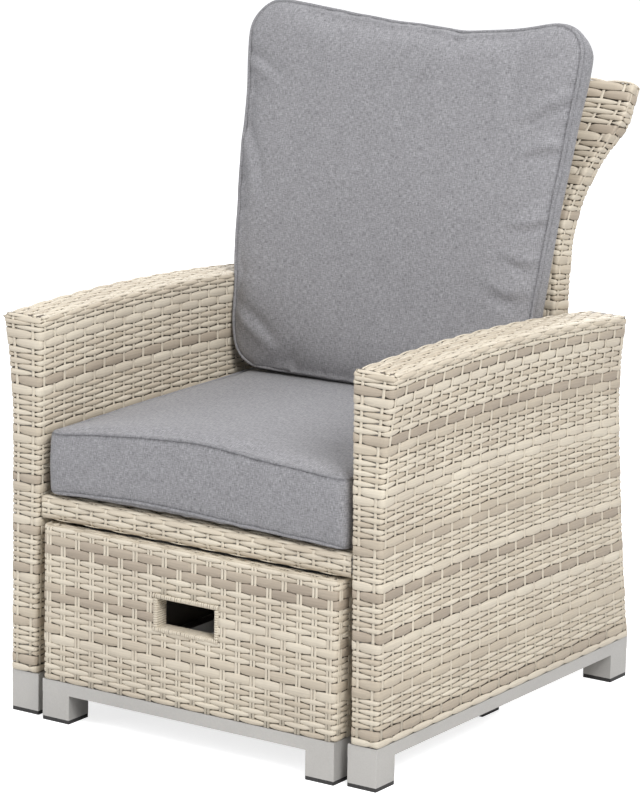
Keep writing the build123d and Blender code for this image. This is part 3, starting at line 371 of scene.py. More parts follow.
def weaveRow(store, surface, v, height, kind, turn, tint, reach, corners=(), closed=True, plain=False):
    # one strand along a row: it dips under every second upright, and stays on top between
    low, high = reach
    k = np.arange(math.floor(low) - 3, math.ceil(high) + 4)
    dips = k[(k + turn) % 2 == 0] + 0.5
    u = (dips[:, None] + np.array(weave["near"])).ravel()
    u = np.unique(np.round(np.concatenate([u, [c + d for c in corners for d in weave["corner"]]]), 3))
    u = u[np.concatenate([[True], np.diff(u) > 0.03])]
    if closed:
        u = u[(u >= low) & (u < high - 0.02)]
    else:
        u = np.concatenate([[low], u[(u > low + 0.04) & (u < high - 0.04)], [high]])
    # t is 0 in a dip and 1 midway between two; the strand rises by 1 - (1 - t)^arch of the dip's depth
    # and narrows by waist * (1 - t)^sharp
    m = (u - 0.5 + turn) % 2
    t = np.minimum(m, 2 - m)
    look = flatStrand if kind == "flat" else roundStrand
    risen = np.ones_like(t) if plain else 1 - (1 - t) ** look["arch"]
    thick = look["thick"]
    centre, across, outward = frameOf(surface, u, v + rng.normal(0, 0.25))[:3]
    lifts = -thick - (1 - risen) * (weave["dip"] - thick) + 0.12 * rng.normal() - weave["sunk"]
    halves = height / 2 * (look["wide"] - look["waist"] * (1 - t) ** look["sharp"])
    # each length between two dips has its own shade
    length = np.floor((u - 0.5 + turn) / 2).astype(int)
    shade = rng.normal(0, 0.07, length.max() - length.min() + 1)[length - length.min()]
    if closed:
        shade[length == length.max()] = shade[0]
    tints = np.clip(tint + shade, 0, 1.15)
    sweep(store, centre, across, outward, halves, lifts, thick, look["section"], tints, closed)


def warp(store, surface, u, levels, half=weave["warpHalf"], top=weave["warpTop"]):
    # an upright strip that shows where the rows dip
    n, thick = len(levels), weave["warpThick"]
    centre, _, outward, along = frameOf(surface, np.full(n, float(u)), np.asarray(levels, float))
    sweep(store, centre, along, outward, np.full(n, half), np.full(n, -top - thick), thick, flatStrand["section"],
          np.full(n, 0.06 + rng.normal(0, 0.05)), False)


def addShadeLayer(store, points, quads, caps=()):
    # a part of the dark layer behind the strands, painted shade where the hollow shows between them
    store["points"].append(points)
    store["quads"].append(quads)
    store["uv"].append(np.zeros((len(quads), 4, 2)))
    store["tint"].append(np.full(len(points), weave["behind"]))
    store["caps"] += caps
    store["count"] += len(points)


def shadeSlab(store, low, high):
    (x0, y0, z0), (x1, y1, z1) = low, high
    points = np.array([(x0, y0, z0), (x1, y0, z0), (x1, y1, z0), (x0, y1, z0),
                       (x0, y0, z1), (x1, y0, z1), (x1, y1, z1), (x0, y1, z1)], float)
    quads = np.array([(0, 3, 2, 1), (4, 5, 6, 7), (0, 1, 5, 4), (1, 2, 6, 5), (2, 3, 7, 6), (3, 0, 4, 7)])
    addShadeLayer(store, points, quads + store["count"])


def backing(store, surface, part, step, levels):
    # a closed skin under the strands, dark as painted shade: loops round the surface joined from the first to the last,
    # and two caps
    total, corners = loopOf(part)
    u = np.unique(np.concatenate([np.arange(0, total, step), [c + d for c in corners for d in (-0.2, 0.2)]]))
    rings = []
    for v in levels:
        centre, _, outward, _ = frameOf(surface, u, np.full(len(u), v))
        rings.append(centre - outward * part["backing"])
    grid = store["count"] + np.arange(len(rings) * len(u)).reshape(len(rings), len(u))
    caps = [grid[0][::-1].tolist(), grid[-1].tolist()]
    addShadeLayer(store, np.concatenate(rings), quadsBetween(grid[:-1], grid[1:]), caps)


def smoothMesh(name, points, faces, material):
    mesh = bpy.data.meshes.new(name)
    mesh.from_pydata(points.tolist(), [], faces)
    mesh.polygons.foreach_set("use_smooth", np.full(len(faces), True))
    mesh.materials.append(material)
    mesh.update()
    return mesh


def setValues(mesh, name, kind, domain, key, values):
    mesh.attributes.new(name, kind, domain).data.foreach_set(key, np.asarray(values, np.float32))


def buildPiece(name, store, material, body, *replaced):
    quads = np.concatenate(store["quads"])
    mesh = smoothMesh(name, np.concatenate(store["points"]) / 1000, quads.tolist() + store["caps"], material)
    flat = np.zeros((len(mesh.loops), 2))
    laid = np.concatenate(store["uv"]).reshape(-1, 2) / 1000
    flat[: len(laid)] = laid
    mesh.uv_layers.new(name="strandUv").data.foreach_set("uv", flat.ravel())
    setValues(mesh, "tint", "FLOAT", "POINT", "value", np.concatenate(store["tint"]))
    piece = newObject(name, mesh)
    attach(piece, body)
    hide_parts(*replaced)
    print(name, "triangles", 2 * len(quads) + sum(len(c) - 2 for c in store["caps"]))


def boxLoop(u, front, side):
    # a point on a square of half width 1, walked from the middle of its front side to the right and round
    total = 2 * (front + side)
    knots = np.cumsum([0, front / 2, side, front, side, front / 2])
    w = np.mod(u, total)
    return np.interp(w, knots, [0, 1, 1, -1, -1, 0]), np.interp(w, knots, [-1, -1, 1, 1, -1, -1])


def loopOf(part):
    # the pitches round a loop, and where its corners come
    front, side = part["frontPitches"], part["sidePitches"]
    first = front // 2
    return 2 * (front + side), (first, first + side, first + side + front, first + 2 * side + front)


def roundOff(x, y, lowX, highX, lowY, highY, radius):
    # the nearest point of the rectangle drawn in by the radius, moved out again by the radius
    qx = np.clip(x, lowX + radius, highX - radius)
    qy = np.clip(y, lowY + radius, highY - radius)
    dx, dy = x - qx, y - qy
    size = np.maximum(np.hypot(dx, dy), 1e-6)
    return qx + radius * dx / size, qy + radius * dy / size


def rowsFrom(top, rows):
    # rows are (kind, height, tint) from the top down; the middle of each is added
    placed = []
    for kind, height, tint in rows:
        placed.append((kind, top - height / 2, height, tint))
        top -= height
    return placed


def band(kind, count, height, tints):
    return [(kind, height, tints[i % len(tints)]) for i in range(count)]


arm = {
    "foot": 65.0, "front": 622.0, "rear": 597.0, "crown": 13.5, "length": 739.0, "lean": 62.0, "hollow": 8.0,
    "outer": 335.5, "flare": 19.0, "flareStart": 430.0, "flareRun": 197,
    "inner": 286.0, "innerLean": 9.5, "leanRun": 557, "radius": 9.0,
    "sidePitches": 27, "frontPitches": 2, "topPitches": 26, "backing": 5.2,
    "uprights": (*np.linspace(67, 610, 7), 617, 624, 630), "sheet": (*np.linspace(66, 613, 10), 620, 627),
}
armRows = {
    "rim": 14.1,                                    # run of the strands from the rim's start to the first row
    "flat": (13.8, 15, 13.8, 13.8, 14.2, 15, 15),   # height of each flat pair; then count and height of thin rows
    "thin": ((5, 8.5), (6, 7.9), (6, 7.9), (5, 7.5), (6, 7.75), (5, 8.0), (6, 7.5)),
    "shades": (0.05, 0.42, 0.1, 0.3, 0.06, 0.5),
    "right": ((0.85, 0.12), (0.9, 0.5), (0.08, 0.1), (0.42, 0.75), (0.12, 1.0), (0.9, 0.1), (0.45, 0.5)),
    "left": ((0.1, 0.15), (0.85, 0.15), (0.5, 0.12), (0.9, 0.35), (0.1, 0.8), (0.8, 0.2), (0.4, 0.7)),
    "last": ("flat", 15, 0.85), "foot": (71.5, 10.5, 0.1),
    "top": ((8, 0.2), (7.5, 0.1), (9, 0.55), (9.5, 0.3), (9, 0.5), (8, 0.12), (8, 0.35)), "topStart": 9.0,
    "topReach": (0.31, 25.69),
}


def armTop(y):
    # the top edge falls to the rear, with a parabola's crown on it
    s = np.clip(y / (arm["length"] - arm["lean"]), 0, 1)
    return arm["front"] - (arm["front"] - arm["rear"]) * s + 4 * arm["crown"] * s * (1 - s)


def armSides(z):
    # the inner face leans in evenly, the outer one flares with the square of the height
    outer = arm["outer"] + arm["flare"] * (np.clip(z - arm["flareStart"], 0, None) / arm["flareRun"]) ** 2
    return arm["inner"] - arm["innerLean"] * (z - arm["foot"]) / arm["leanRun"], outer


def armSurface(sign):
    # round the arm in level loops that sink to the rear with its top edge; past the rim's start they turn inwards.
    # u counts uprights round the loop from the middle of its front, v is the height in front
    radius = arm["radius"]
    rimStart = arm["front"] - radius

    def surface(u, v):
        sx, sy = boxLoop(u, arm["frontPitches"], arm["sidePitches"])
        v = np.broadcast_to(np.asarray(v, float), sx.shape)
        straight = np.minimum(v, rimStart)
        angle = np.clip((v - rimStart) / radius, 0, math.pi / 2)
        inset = radius * (1 - np.cos(angle)) + np.maximum(v - rimStart - radius * math.pi / 2, 0)
        share = (straight - arm["foot"]) / (arm["front"] - arm["foot"])
        f = np.clip((straight - arm["foot"]) / (arm["rear"] - arm["foot"]), 0, 1)
        rearY = arm["length"] - arm["lean"] * f - 4 * arm["hollow"] * f * (1 - f)
        y = (sy + 1) / 2 * rearY
        z = straight - (arm["front"] - armTop(y)) * share
        inner, outer = armSides(z)
        low, high = (inner, outer) if sign > 0 else (-outer, -inner)
        x = np.clip((low + high) / 2 + sx * (high - low) / 2, low + inset, high - inset)
        y = np.clip(y, inset, rearY - inset)
        corner = radius - 0.45 * np.minimum(inset, radius)
        x, y = roundOff(x, y, low + inset, high - inset, inset, rearY - inset, corner)
        return np.stack([x, y + armFront, z + radius * np.sin(angle)], -1)

    return surface


def armTopSurface(sign):
    # rows along the top of the arm; v runs from its right edge to its left one
    def surface(u, v):
        y = np.asarray(u, float) / arm["topPitches"] * (arm["length"] - arm["lean"])
        z = armTop(y)
        inner, outer = armSides(z)
        return np.stack([(outer if sign > 0 else -inner) - v, y + armFront, z], -1)

    return surface


def makeArm(side, sign, material):
    store = newStore()
    surface = armSurface(sign)
    total, corners = loopOf(arm)
    rows = band("round", 2, 7.0, (0.12, 0.4)) + band("round", 2, 6.6, (0.3, 0.05))
    for i, pair in enumerate(armRows[side]):
        count, height = armRows["thin"][i]
        rows += band("flat", 2, armRows["flat"][i], pair)
        rows += band("round", count, height, armRows["shades"][i % 3:] + armRows["shades"])
    rows = rowsFrom(arm["front"] - arm["radius"] + armRows["rim"], rows + [armRows["last"]])
    for i, (kind, middle, height, tint) in enumerate(rows):
        weaveRow(store, surface, middle, height, kind, i, tint, (0, total), corners)
    middle, height, tint = armRows["foot"]
    weaveRow(store, surface, middle, height, "flat", 0, tint, (0, total), corners, plain=True)
    for k in range(total):
        warp(store, surface, k + 0.5, arm["uprights"])
    top, width = armTopSurface(sign), armRows["topStart"]
    for i, (height, tint) in enumerate(armRows["top"]):
        weaveRow(store, top, width + height / 2, height, "round", i, tint, armRows["topReach"], closed=False)
        width += height
    for k in range(1, arm["topPitches"]):
        warp(store, top, k + 0.5, np.linspace(8, 69, 5))
    # the dark backing is painted shade seen between the strands
    backing(store, surface, arm, 2.0, arm["sheet"])
    buildPiece(side + "ArmWicker", store, material, "chair", side + "_arm_weave")


back = {
    "foot": 362.0, "frontFoot": 580.0, "rearFoot": 628.0, "lean": 8.0, "straightTop": 620.0,
    "top": 958.0, "rearTop": 945.0,
    "frontArc": (1212.4, 600.6, 624.7), "rearArc": (1380.2, 596.9, 744.6), "half": 266.5, "flareStart": 700.0,
    "flareArc": 336.7, "shoulderStart": 883.4, "shoulder": (270.5, 916.1, 60.0), "radius": 6.0,
    "rim": 7.0, "rimRun": 11, "frontPitches": 20, "sidePitches": 2, "backing": 5.0,
}
backRows = {
    "flat": 14.3, "thin": 8.4, "shades": (0.05, 0.4, 0.12, 0.3, 0.08, 0.45), "first": 9.0, "last": (0.4, 0.15),
    "pairs": ((0.5, 0.85), (0.8, 0.3), (0.1, 0.35), (0.85, 0.15), (0.4, 0.6), (0.12, 0.3), (0.8, 0.4), (0.2, 0.5)),
}
backTop = {  # the rows over the rim of the head, between its front and its rear
    "rows": (-6.0, 1.0, 8.0), "height": 7.5, "half": 322, "halfPitches": 11, "y": 711, "z": 952.0, "rearward": 0.86,
    "fall": 0.5, "reach": (0.2, 21.8),
}


def backDepth(z, foot, arc):
    # a straight lean up to the arc, then the arc: centre - sqrt(radius^2 - (z - centre)^2)
    low = foot + back["lean"] * (z - back["foot"]) / (back["straightTop"] - back["foot"])
    cy, cz, r = arc
    high = cy - np.sqrt(np.maximum(r * r - (z - cz) ** 2, 0))
    return np.where(z < back["straightTop"], low, high)


def backHalf(z):
    # the half width flares along one arc and closes along a second, smaller one
    rise = np.clip(z - back["flareStart"], 0, back["flareArc"] * 0.95)
    flare = back["half"] + back["flareArc"] - np.sqrt(back["flareArc"] ** 2 - rise ** 2)
    cx, cz, r = back["shoulder"]
    shoulder = cx + np.sqrt(np.maximum(r * r - np.minimum(z - cz, 0) ** 2, 0))
    return np.where(z < back["shoulderStart"], flare, shoulder)


backHeights = np.linspace(back["foot"], back["top"], 300)
backRun = np.concatenate([[0], np.cumsum(np.hypot(np.diff(backHeights), np.diff(
    backDepth(backHeights, back["frontFoot"], back["frontArc"]))))])


def backSurface(u, v):
    # level loops round the back, spaced by the run of its front face; past the rim's start they turn inwards
    sx, sy = boxLoop(u, back["frontPitches"], back["sidePitches"])
    v = np.broadcast_to(np.asarray(v, float), sx.shape)
    rim = back["rim"]
    rimStart = backRun[-1] - rim
    angle = np.clip((v - rimStart) / rim, 0, math.pi / 2)
    inset = rim * (1 - np.cos(angle))
    z = np.interp(np.minimum(v, rimStart), backRun, backHeights)
    rearZ = back["foot"] + (z - back["foot"]) * (back["rearTop"] - back["foot"]) / (back["top"] - back["foot"])
    near = backDepth(z, back["frontFoot"], back["frontArc"])
    far = backDepth(rearZ, back["rearFoot"], back["rearArc"])
    half = backHalf(z)
    x, y = sx * (half - inset), (near + far) / 2 + sy * ((far - near) / 2 - inset)
    corner = np.maximum(back["radius"] - inset, 0.8)
    x, y = roundOff(x, y, inset - half, half - inset, near + inset, far - inset, corner)
    share = (y - near) / (far - near)
    lift = rim * np.sin(angle)
    return np.stack([x, y + armFront + 0.5 * lift, z + (rearZ - z) * share + 0.86 * lift], -1)


def backTopSurface(u, v):
    # straight from left to right; v runs to the rear and down
    x = (np.asarray(u, float) - backTop["halfPitches"]) / backTop["halfPitches"] * backTop["half"]
    y = 0 * x + armFront + backTop["y"] + v * backTop["rearward"]
    return np.stack([x, y, 0 * x + backTop["z"] - v * backTop["fall"]], -1)


def makeBack(material):
    store = newStore()
    total, corners = loopOf(back)
    length = backRun[-1] - back["rim"] + back["rimRun"]
    flat, thin, shades = backRows["flat"], backRows["thin"], backRows["shades"]
    rows = band("round", 1, backRows["first"], (0.35,))
    for i, pair in enumerate(backRows["pairs"]):
        rows += band("flat", 2, flat, pair) + band("round", 5, thin, shades[i % 3:] + shades)
    rows += band("flat", 2, flat, backRows["last"]) + band("round", 4, thin, shades)
    for i, (kind, middle, height, tint) in enumerate(rowsFrom(length, rows)):
        if middle > height / 2 + 1:     # the rest would hang below the foot
            weaveRow(store, backSurface, middle, height, kind, i, tint, (0, total), corners)
    levels = np.concatenate([np.linspace(2, length - 12, 16), [length - 7, length - 3]])
    for k in range(total):
        warp(store, backSurface, k + 0.5, levels)
    # the dark backing is painted shade seen between the strands
    backing(store, backSurface, back, 1.0, np.concatenate([np.linspace(2, length - 12, 14), [length - 5]]))
    for i, v in enumerate(backTop["rows"]):
        weaveRow(store, backTopSurface, v, backTop["height"], "round", i, 0.2 + 0.1 * i, backTop["reach"], closed=False)
    buildPiece("backWicker", store, material, "back", "back_weave")


stool = {
    "halfX": 268.0, "front": -374.5, "depth": 470.0, "foot": 65.0, "top": 307.0, "wall": 304, "radius": 12.0,
    "frontPitches": 20, "sidePitches": 18, "holeHalf": 60.0, "holeLow": 175.5, "holeHigh": 236.5,
    "rimRun": 49.5, "tintChange": 10.4, "pair": 2.7, "warpHalf": 2.3, "warpTop": 1.0,
    "behind": 4.6, "sheet": 1.2, "rim": 19,
}
stoolPath = {  # how far the rim's path has come in and up, against its run past the top of the wall
    "run": (0, 1.6, 3.1, 4.7, 26.7, 28.3, 29.8, 31.4, 52),
    "inset": (0, 0.4, 1.5, 3, 25, 26.5, 27.6, 28, 28),
    "height": (304, 305.5, 306.6, 307, 307, 306.6, 305.5, 304, 283.4),
}
stoolShades = (0.06, 0.4, 0.12, 0.3, 0.05)
stoolRows = (
    band("round", 3, 6.9, (0.1, 0.25, 0.05)) + band("round", 3, 8.3, (0.2, 0.05, 0.35))
    + band("round", 2, 7.5, (0.1, 0.3)) + band("flat", 2, 15, (0.88, 0.95)) + band("round", 5, 9.0, stoolShades)
    + band("flat", 2, 14, (0.8, 0.9)) + band("round", 4, 9.0, stoolShades[1:])
    + band("flat", 2, 15, (0.45, 0.12)) + band("round", 7, 8.3, stoolShades))
stoolLevels = {"whole": (66, 120, 180, 240, 303, 306, 330, 352), "below": (66, 110, 150, 177),
               "above": (235, 270, 303, 306, 330, 352)}     # of the hand hole


def stoolSurface(u, v):
    # level loops round the footstool's walls, then over the rim and down inside it
    sx, sy = boxLoop(u, stool["frontPitches"], stool["sidePitches"])
    v = np.broadcast_to(np.asarray(v, float), sx.shape)
    run = np.maximum(v - stool["wall"], 0)
    inset = np.interp(run, stoolPath["run"], stoolPath["inset"])
    z = np.where(v < stool["wall"], v, np.interp(run, stoolPath["run"], stoolPath["height"]))
    halfX, halfY = stool["halfX"] - inset, stool["depth"] / 2 - inset
    x, y = sx * halfX, sy * halfY
    x, y = roundOff(x, y, -halfX, halfX, -halfY, halfY, np.maximum(stool["radius"] - inset, 0.8))
    return np.stack([x, y + stool["front"] + stool["depth"] / 2, z], -1)


def makeFootstool(material):
    store = newStore()
    total, corners = loopOf(stool)
    pitch = 2 * stool["halfX"] / stool["frontPitches"]
    gap = (stool["holeHalf"] - 4) / pitch
    change = stool["tintChange"]
    for i, (kind, middle, height, tint) in enumerate(rowsFrom(stool["wall"] + stool["rimRun"], stoolRows)):
        parts = [((0, total), tint, corners)]
        if stool["holeLow"] + 1.5 < middle < stool["holeHigh"] - 1.5:
            parts = [((gap, total - gap), tint, corners)]
            if kind == "flat":  # this pair is taupe to the left of the hand hole and cream to its right
                parts = [((gap, change), 0.1, corners[:1]), ((change, total - gap), tint, corners)]
        for reach, shade, bends in parts:
            weaveRow(store, stoolSurface, middle, height, kind, i, shade, reach, bends, closed=reach == (0, total))
    for k in range(total):
        middle = k + 0.5
        fromHole = min(middle, total - middle) * pitch
        cut = fromHole < stool["holeHalf"] - 3
        for offset in (-stool["pair"] / pitch, stool["pair"] / pitch):
            for part in ("below", "above") if cut else ("whole",):
                warp(store, stoolSurface, middle + offset, stoolLevels[part], stool["warpHalf"], stool["warpTop"])
    # dark sheets behind the walls and under the rim, painted shade for the hollow seen between the strands
    t, w, rim = stool["behind"], stool["sheet"], stool["rim"]
    x1, y0, y1 = stool["halfX"] - t, stool["front"] + t, stool["front"] + stool["depth"] - t
    low, high = stool["foot"] + 1, stool["top"] - t
    hole, sill, head = stool["holeHalf"] - 2, stool["holeLow"] + 2, stool["holeHigh"] - 2
    for sheet in (((-x1, y0, low), (-hole, y0 + w, high)), ((hole, y0, low), (x1, y0 + w, high)),
                  ((-hole, y0, low), (hole, y0 + w, sill)), ((-hole, y0, head), (hole, y0 + w, high)),
                  ((-x1, y1 - w, low), (x1, y1, high)),
                  ((-x1, y0 + w, low), (-x1 + w, y1 - w, high)), ((x1 - w, y0 + w, low), (x1, y1 - w, high)),
                  ((-x1, y0, high - w), (x1, y0 + rim, high)), ((-x1, y1 - rim, high - w), (x1, y1, high)),
                  ((-x1, y0 + rim, high - w), (-x1 + rim, y1 - rim, high)),
                  ((x1 - rim, y0 + rim, high - w), (x1, y1 - rim, high))):
        shadeSlab(store, *sheet)
    buildPiece("footstoolWicker", store, material, "footstool",
               "footstool_front_weave", "footstool_rear_weave", "footstool_left_weave", "footstool_right_weave")


binding = {
    "halfX": 51.0, "halfZ": 21.5, "middle": 206.0, "width": 9.0, "depth": 26.0, "wrap": 3.7, "half": 1.95, "thick": 1.4,
    "sunk": 0.5, "core": 1.6, "sides": 16, "section": ((-1.0, 0.0), (1.0, 0.0), (0.6, 0.85), (-0.6, 0.85)),
}


def makeBinding(material):
    # a thin strand wound round each bar of the hand hole; each turn is a superellipse:
    # sign(cos a) * |cos a|^0.55 * half width, sign(sin a) * |sin a|^0.35 * half depth
    store = newStore()
    front, w, d, n, core = stool["front"], binding["width"], binding["depth"], binding["sides"], binding["core"]
    midZ, spanX, spanZ = binding["middle"], binding["halfX"] + w, binding["halfZ"]
    angles = np.linspace(0, 2 * math.pi, n + 1)[:-1]
    ca, sa = np.cos(angles), np.sin(angles)
    px = np.sign(ca) * np.abs(ca) ** 0.55 * (w / 2 - 0.9)
    py = np.sign(sa) * np.abs(sa) ** 0.35 * (d / 2 + 0.1)
    nx, ny = unit(np.stack([ca * d, sa * w], -1)).T

    def wind(x, z, outX, outZ, along, tint):
        centres = np.stack(np.broadcast_arrays(x, front + d / 2 + py, z), -1)
        outward = np.stack(np.broadcast_arrays(outX, ny, outZ), -1)
        tints = np.full(n, tint + rng.normal(0, 0.06))
        sweep(store, centres, np.tile(along, (n, 1)), outward, np.full(n, binding["half"]),
              np.full(n, -binding["sunk"]), binding["thick"], binding["section"], tints, True)

    for sign in (-1, 1):
        barX, barZ = sign * (binding["halfX"] + w / 2), midZ + sign * (binding["halfZ"] + w / 2)
        for x in np.arange(-spanX + 1.8, spanX, binding["wrap"]):
            wind(x + rng.normal(0, 0.25), barZ + px, 0.0, nx, (1.0, 0, 0), 0.12)
        for z in np.arange(-spanZ + 1, spanZ, binding["wrap"]):
            wind(barX + px, midZ + z, nx, 0.0, (0, 0, 1.0), 0.1)
        # dark cores under the wound strands, painted shade between the turns
        y0, y1, half = front + core, front + d - core, w / 2 - core
        shadeSlab(store, (-spanX + 1.2, y0, barZ - half), (spanX - 1.2, y1, barZ + half))
        shadeSlab(store, (barX - half, y0, midZ - spanZ), (barX + half, y1, midZ + spanZ))
    buildPiece("handHoleWrap", store, material, "footstool", "hand_hole_binding")


def weavePanel(store, surface, run, look, kinds, margin, levels):
    # rows across a flat panel, as many as its run holds, and its uprights; the surface starts at 0 both ways
    rows = int(run // look["row"])
    height = run / rows
    for i in range(rows):
        kind = kinds[i == rows // 2 + 1]
        weaveRow(store, surface, height * (i + 0.5), height, kind, i, look["shades"][i % len(look["shades"])],
                 (margin, look["pitches"] - margin), closed=False)
    for k in range(look["pitches"]):
        warp(store, surface, k + 0.5, np.linspace(1, run - 1, levels))


seat = {"half": 280.9, "apronFront": 5.0, "apronRear": 34.4, "low": 310.0, "high": 348.0, "radius": 9.0, "pitches": 21,
        "row": 8.1, "shades": (0.1, 0.35, 0.15, 0.5, 0.05)}
deck = {"pitches": 20, "row": 14.2, "shades": (0.15, 0.5, 0.3, 0.8), "sheet": (5.6, 4.6)}


def makeApron(material):
    store = newStore()
    # its outside, from under it round the front to its top
    r, f, b = seat["radius"], seat["apronFront"], seat["apronRear"]
    angles = np.linspace(0, math.pi / 2, 6)
    pathY = np.concatenate([[b], f + r - r * np.sin(angles), f + r - r * np.cos(angles), [b]])
    pathZ = np.concatenate([[seat["low"]], seat["low"] + r - r * np.cos(angles),
                            seat["high"] - r + r * np.sin(angles), [seat["high"]]])
    run = np.concatenate([[0], np.cumsum(np.hypot(np.diff(pathY), np.diff(pathZ)))])

    def surface(u, v):
        # straight across the seat; v follows that outside
        x = (np.asarray(u, float) / seat["pitches"] * 2 - 1) * seat["half"]
        v = np.broadcast_to(np.asarray(v, float), x.shape)
        return np.stack([x, np.interp(v, run, pathY) + armFront, np.interp(v, run, pathZ)], -1)

    weavePanel(store, surface, run[-1], seat, ("round", "flat"), 0.05, 12)
    # a dark sheet behind the strands, painted shade
    f += armFront + 4.8
    shadeSlab(store, (-seat["half"], f, seat["low"] + 4.4), (seat["half"], f + 1, seat["high"] - 4.0))
    buildPiece("apronWicker", store, material, "chair", "seat_apron_weave")


def makeDeck(name, nodeName, body, material):
    # flat strands across the node's box, over a dark sheet of painted shade
    store = newStore()
    low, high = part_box(nodeName)
    x0, y0, y1, top = low.x * 1000, low.y * 1000, high.y * 1000, high.z * 1000

    def surface(u, v):
        # level, from left to right and from front to rear
        x = x0 * (1 - np.asarray(u, float) / deck["pitches"] * 2)
        v = np.broadcast_to(np.asarray(v, float), x.shape)
        return np.stack([x, v + y0, 0 * x + top], -1)

    weavePanel(store, surface, y1 - y0, deck, ("flat", "flat"), 0.04, 6)
    under, over = deck["sheet"]
    shadeSlab(store, (x0 + 1, y0 + 1, top - under), (-x0 - 1, y1 - 1, top - over))
    buildPiece(name, store, material, body, nodeName)


# The box of each cushion keeps it clear of its neighbours. Out is how far the cloth may swell,
# cord the radius of the piping, pucker and swell the height of the gathers and of the slow waves.
cushions = {
    "seatCushion": {
        "node": "seat_cushion", "body": "seat_cushion", "voxel": 6.0, "shrink": 2.5, "out": 5.5, "pressure": 4.0,
        "low": (-272.2, armFront - 9, 348.4), "high": (272.2, armFront + 575, 479.0), "fill": 0.85, "cord": 2.5,
        "pucker": 1.0, "swell": 0.8},
    "backCushion": {
        "node": "back_cushion", "body": "back_cushion", "voxel": 6.3, "shrink": 2.0, "out": 10.0, "pressure": 4.0,
        "low": (-314, armFront + 462, 465.4), "high": (314, armFront + 668, 1064.0), "fill": 0.8, "cord": 2.9,
        "pucker": 1.0, "swell": 0.8},
    "footstoolPad": {
        "node": "footstool_pad", "body": "footstool", "voxel": 6.0, "shrink": 2.0, "out": 3.5, "pressure": 3.0,
        "low": (-238.5, -347.0, 264.4), "high": (238.5, 68.0, 304.5), "fill": 0.8, "cord": 2.0,
        "pucker": 0.0, "swell": 0.3},
}
clothSettings = {"quality": 4, "mass": 0.3, "tension_stiffness": 18, "compression_stiffness": 18,
                 "bending_stiffness": 1.5, "use_pressure": True}
steps = 20              # of the cloth simulation
# the dark values here are painted shade beside each piping cord and, a little, on the cord itself
seamLook = {"depth": 2.6, "width": 6.0, "dark": 0.75, "seamShadeWidth": 2.6, "cordShade": 0.12, "cordSides": 10,
            "cordLift": 0.0003}
seatForm = {"half": 271.4, "front": armFront - 2, "rear": armFront + 571, "corner": 20.0, "top": 452.3, "bottom": 348.3,
            "crownX": (-271, -190, -107, 12, 60, 100, 180, 264), "crown": (-3, 3, 8, 12, 10, 7, 7, 8)}
backForm = {"half": 300.0, "low": 464.3, "high": 1036.0, "corner": 44.0}
backHeightsOf = {  # of the back cushion: half width, front edge behind the arm fronts, thickness, by height
    "z": (464.3, 538.6, 618.7, 778.7, 904.5, 1001.7, 1036.0), "half": (262, 267.9, 274.2, 287.7, 298, 307, 300.3),
    "near": (499.4, 504.6, 511.4, 535.5, 563.0, 585.4, 597.4), "thick": (80, 77.6, 73.6, 74.4, 80, 80, 64),
}
topEdge = {"x": (-306, -250, -150, -50, 50, 82, 130, 180, 215, 250, 306),
           "dz": (5, 11, 2, -5, -8, -12, -6, 0, 8, 18, 17)}
backBulge = {"z": (465, 560, 640, 750, 850, 900, 980, 1036), "left": (0, 3, 8, 9, 7, 5, 6, 4),
             "right": (0, 0, 2, 4, 5, 3, 2, 1)}
folds = [  # soft folds of the back cushion: points (x, z), height, half width
    ([(86, 1030), (52, 985), (20, 925), (4, 860)], 5.5, 8.0), ([(40, 1030), (0, 985), (-26, 930)], 4.5, 7.5),
    ([(302, 942), (262, 925), (228, 903)], 4.5, 7.0), ([(294, 868), (258, 862), (230, 850)], 3.8, 6.5),
    ([(-292, 842), (-262, 800), (-240, 742)], 4.5, 9.0), ([(-304, 955), (-270, 945), (-232, 925)], 4.0, 7.0),
    ([(-262, 560), (-222, 540), (-180, 512)], 4.0, 9.0), ([(262, 640), (225, 640), (190, 655)], 3.0, 8.0),
    ([(-120, 1020), (-135, 985), (-140, 950)], 3.0, 8.0), ([(200, 1015), (185, 960), (190, 900)], 2.8, 11.0),
    ([(285, 760), (255, 748), (226, 744)], 3.4, 6.5), ([(276, 690), (246, 690), (220, 700)], 3.0, 6.5),
]
pad = {"half": 237.0, "front": -343.5, "rear": 64.5, "corner": 18.0, "seamHalf": 201.0, "middle": -139.5, "seam": 299.0}


def roundCorner(x, z, halfX, lowZ, highZ, radius):
    # a square corner becomes a quarter disc: a * sqrt(1 - b^2 / 2) and b * sqrt(1 - a^2 / 2)
    middle = (lowZ + highZ) / 2
    tall = (highZ - lowZ) / 2
    a = np.clip((np.abs(x) - (halfX - radius)) / radius, 0, 1)
    b = np.clip((np.abs(z - middle) - (tall - radius)) / radius, 0, 1)
    newA = a * np.sqrt(1 - b * b / 2) - a
    newB = b * np.sqrt(1 - a * a / 2) - b
    return x + np.sign(x) * radius * newA, z + np.sign(z - middle) * radius * newB


def smoothStep(value, low, high):
    t = np.clip((value - low) / (high - low), 0, 1)
    return t * t * (3 - 2 * t)


